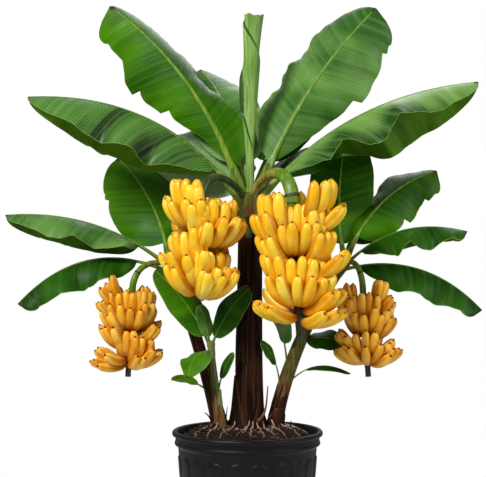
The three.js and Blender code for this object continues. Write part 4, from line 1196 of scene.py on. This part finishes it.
def leaf(name, seed, height, tip, bow, sway, width, bare, roll, fold, girth, tint, skew=0.92):
    """One leaf: its blade, its stalk and midrib, and its clasping foot."""
    rng = np.random.RandomState(seed)
    stem_name = name.split("_")[0]
    stem, on_main = STEMS[stem_name], stem_name == "main"
    rib = Midrib(stem_point(stem, height, tip, LEAF_OUT), tip, bow, sway, roll)
    shell = Shell()
    blade(shell, rng, name, rib, width, bare, fold, girth, skew)
    stalk_and_midrib(shell, rib, width, bare, girth, MAIN_FOOT_WIDER if on_main else FOOT_WIDER)
    if name not in CLEAN_FEET:
        clasping_foot(shell, rng, stem, height, tip, girth, 0.6 if on_main else 1)
    finishes = [UPPERS[tint], UNDERS[tint], edge, scorched, RIB_TOPS[tint], petiole, rib_under]
    finishes += [SHEATHS[sheath] for sheath in FOOT_SHEATHS.get(stem_name, YOUNG_SHEATHS)]
    shell.piece(f"{name}_blade", [*finishes, stalk_rim], "leaf", f"{name}_leaf")


for seed, (name, spec) in enumerate(LEAVES.items()):
    leaf(name, seed, *spec)

# The newest leaf. It stands on the main stem still rolled up, a hollow scroll whose free edge winds up
# round it, and its blunt end is open.
ROLL_TIP, ROLL_BOW, ROLL_RADII = [18, 20, 1600], [-4, 0], [11, 13, 18, 21, 24, 29]
ROLL_STEP, ROLL_THICK, ROLL_DEEP, ROLL_NARROWS = 6, 3, 46, 0.5
ROLL_ROWS, ROLL_SIDES, HOLLOW_ROWS = 220, 128, 8
SCROLL_FROM, SCROLL_TWIST, SCROLL_EASE = 4.1, 11.6, 0.8
# The groove along the free edge: its place and width in turns, and its depth. Painted shade shows next to
# it.
GROOVE_AT, GROOVE_WIDE, GROOVE_DEEP, DARK_BEFORE, DARK_PAST = 0.02, 0.03, 0.9, 0.972, 0.012
# A flap of the blade stands off the roll on the left, about halfway up, and is painted the same dark green.
FLAP_AT, FLAP_WIDE, FLAP_SHARE, FLAP_TALL, FLAP_OUT = math.pi, 0.5, 0.56, 0.13, 15
# The open end's edge is cut back and wavy, from this share of the roll on.
END_FROM, END_CUT = 0.9, 5


def scroll(name, deep, bright, dark):
    """The rolled blade's surface: fine upright streaks, and a soft bloom."""
    made, wire = material(name, Specular_IOR_Level=0.35)
    streak = wire.noise(scale=85, detail=3, stretch=(1, 1, 0.05))
    patch = wire.noise(scale=9, stretch=(1, 1, 0.5))
    green = (streak * 0.6 + patch * 0.5).between(0.4, 0.7).mixed(colour(*deep), colour(*bright))
    green = (streak.between(0.54, 0.68) * 0.7).mixed(green, colour(*dark))
    normal = relief(streak, depth=0.0016, strength=0.6)
    feed(made, Base_Color=green, Roughness=0.42 + 0.14 * patch, Normal=normal)
    return made


head, tip = np.array(STEMS["main"]["head"], float) + UP * 0.3, np.array(ROLL_TIP, float)
middle = (head + tip) / 2 + 2 * np.array([*ROLL_BOW, 0])
share = np.linspace(0, 1, ROLL_ROWS)
up = share[:, None]
angles = circle(ROLL_SIDES)[None]
past = np.mod(angles - SCROLL_FROM + SCROLL_TWIST * (1 - up) ** SCROLL_EASE, TURN) / TURN
radius = along(ROLL_RADII, share)[:, None] + ROLL_STEP * (0.5 - past) * smooth(up * 4)
radius = radius - GROOVE_DEEP * bump(past, GROOVE_AT, GROOVE_WIDE)
flap = bump(angles, FLAP_AT, FLAP_WIDE) * bump(up, FLAP_SHARE, FLAP_TALL, power=4)
radius = radius + FLAP_OUT * flap
end_edge = 2.5 * np.sin(3 * angles[0] + 1) + 1.5 * np.sin(7 * angles[0]) - END_CUT
outer = rings(bezier([head, middle, tip], share), radius, ROLL_SIDES, RIGHT)
outer[..., 2] += end_edge * smooth((up - END_FROM) / (1 - END_FROM))
narrowing = np.linspace(ROLL_NARROWS, 1, HOLLOW_ROWS)[:, None]
hollow_line = tip - UP * np.linspace(ROLL_DEEP, 0, HOLLOW_ROWS)[:, None]
hollow = rings(hollow_line, (radius[-1:] - ROLL_THICK) * narrowing, ROLL_SIDES, RIGHT)
hollow[..., 2] += end_edge * np.linspace(0, 1, HOLLOW_ROWS)[:, None]
# Painted shade: a dark strip along the free edge above the roll's foot; the flap takes the same dark green.
shade = (past[1:] > DARK_BEFORE) | (past[1:] < DARK_PAST)
kinds = np.where((shade & (up[1:] > 0.2)) | (flap[1:] > 0.3), 2, 0)
kinds = np.concatenate([kinds, np.ones((HOLLOW_ROWS, ROLL_SIDES), int)])
rolled = [scroll("rolled_blade", (84, 130, 42), (158, 192, 100), (54, 94, 26))]
rolled.append(scroll("inside_of_roll", (104, 140, 40), (150, 176, 70), (70, 104, 30)))
rolled.append(scroll("painted_shade_by_edge", (34, 64, 12), (60, 96, 24), (22, 44, 8)))
roll = Shell()
roll.tube(np.concatenate([outer, hollow[::-1]]), kinds)
roll.piece("rolled_new_leaf", rolled, "new_leaf", "rolled_leaf")

# The studio: a round pale floor under the pot, soft white light from all round with one large lamp
# high at the front left, and the camera level with the lower fruit.
FLOOR_RADIUS, FLOOR_PALE, WHITE = 1.2, (0.86, 0.86, 0.86, 1), (1, 1, 1, 1)
CAMERA_PLACE, LENS, SENSOR = (-0.013, -3.934, 0.942), 100, 36
LAMPS = {
    "key": {"place": (-2.2, -3.0, 3.4), "size": 1.1, "power": 190},
    "fill": {"place": (3.0, -1.6, 1.8), "size": 1.4, "power": 40},
    "back": {"place": (0.6, 3.0, 3.4), "size": 2.0, "power": 42},
}
LAMPS_AIM, SKY = Vector((0, 0, 0.95)), 0.3
scene = bpy.context.scene
floor_paint, wire = material("floor_paint", Base_Color=FLOOR_PALE, Roughness=0.9, Specular_IOR_Level=0.1)
disc = bmesh.new()
bmesh.ops.create_circle(disc, cap_ends=True, radius=FLOOR_RADIUS, segments=96)
floor_mesh = bpy.data.meshes.new("floor")
disc.to_mesh(floor_mesh)
disc.free()
floor_mesh.materials.append(floor_paint)
floor = bpy.data.objects.new("floor", floor_mesh)
scene.collection.objects.link(floor)

for name, lamp in LAMPS.items():
    light = bpy.data.lights.new(name, "AREA")
    light.energy, light.size = lamp["power"], lamp["size"]
    holder = bpy.data.objects.new(name, light)
    holder.location = lamp["place"]
    holder.rotation_euler = (LAMPS_AIM - Vector(lamp["place"])).to_track_quat("-Z", "Y").to_euler()
    scene.collection.objects.link(holder)

world = bpy.data.worlds.new("studio")
world.use_nodes = True
sky = Wire(world.node_tree)
seen = sky.node("ShaderNodeLightPath", {}, {})
white = sky.node("ShaderNodeBackground", {}, {"Color": WHITE, "Strength": 1})
soft = sky.node("ShaderNodeBackground", {}, {"Color": WHITE, "Strength": SKY})
backdrop = sky.node("ShaderNodeMixShader", {}, {0: seen, 1: soft, 2: white})
world.node_tree.links.new(backdrop.socket, world.node_tree.nodes["World Output"].inputs["Surface"])
scene.world = world
scene.view_settings.view_transform = "Standard"

lens = bpy.data.cameras.new("camera")
lens.lens, lens.sensor_width = LENS, SENSOR
camera = bpy.data.objects.new("camera", lens)
camera.location = CAMERA_PLACE
camera.rotation_euler = (math.pi / 2, 0, 0)
scene.collection.objects.link(camera)
scene.camera = camera
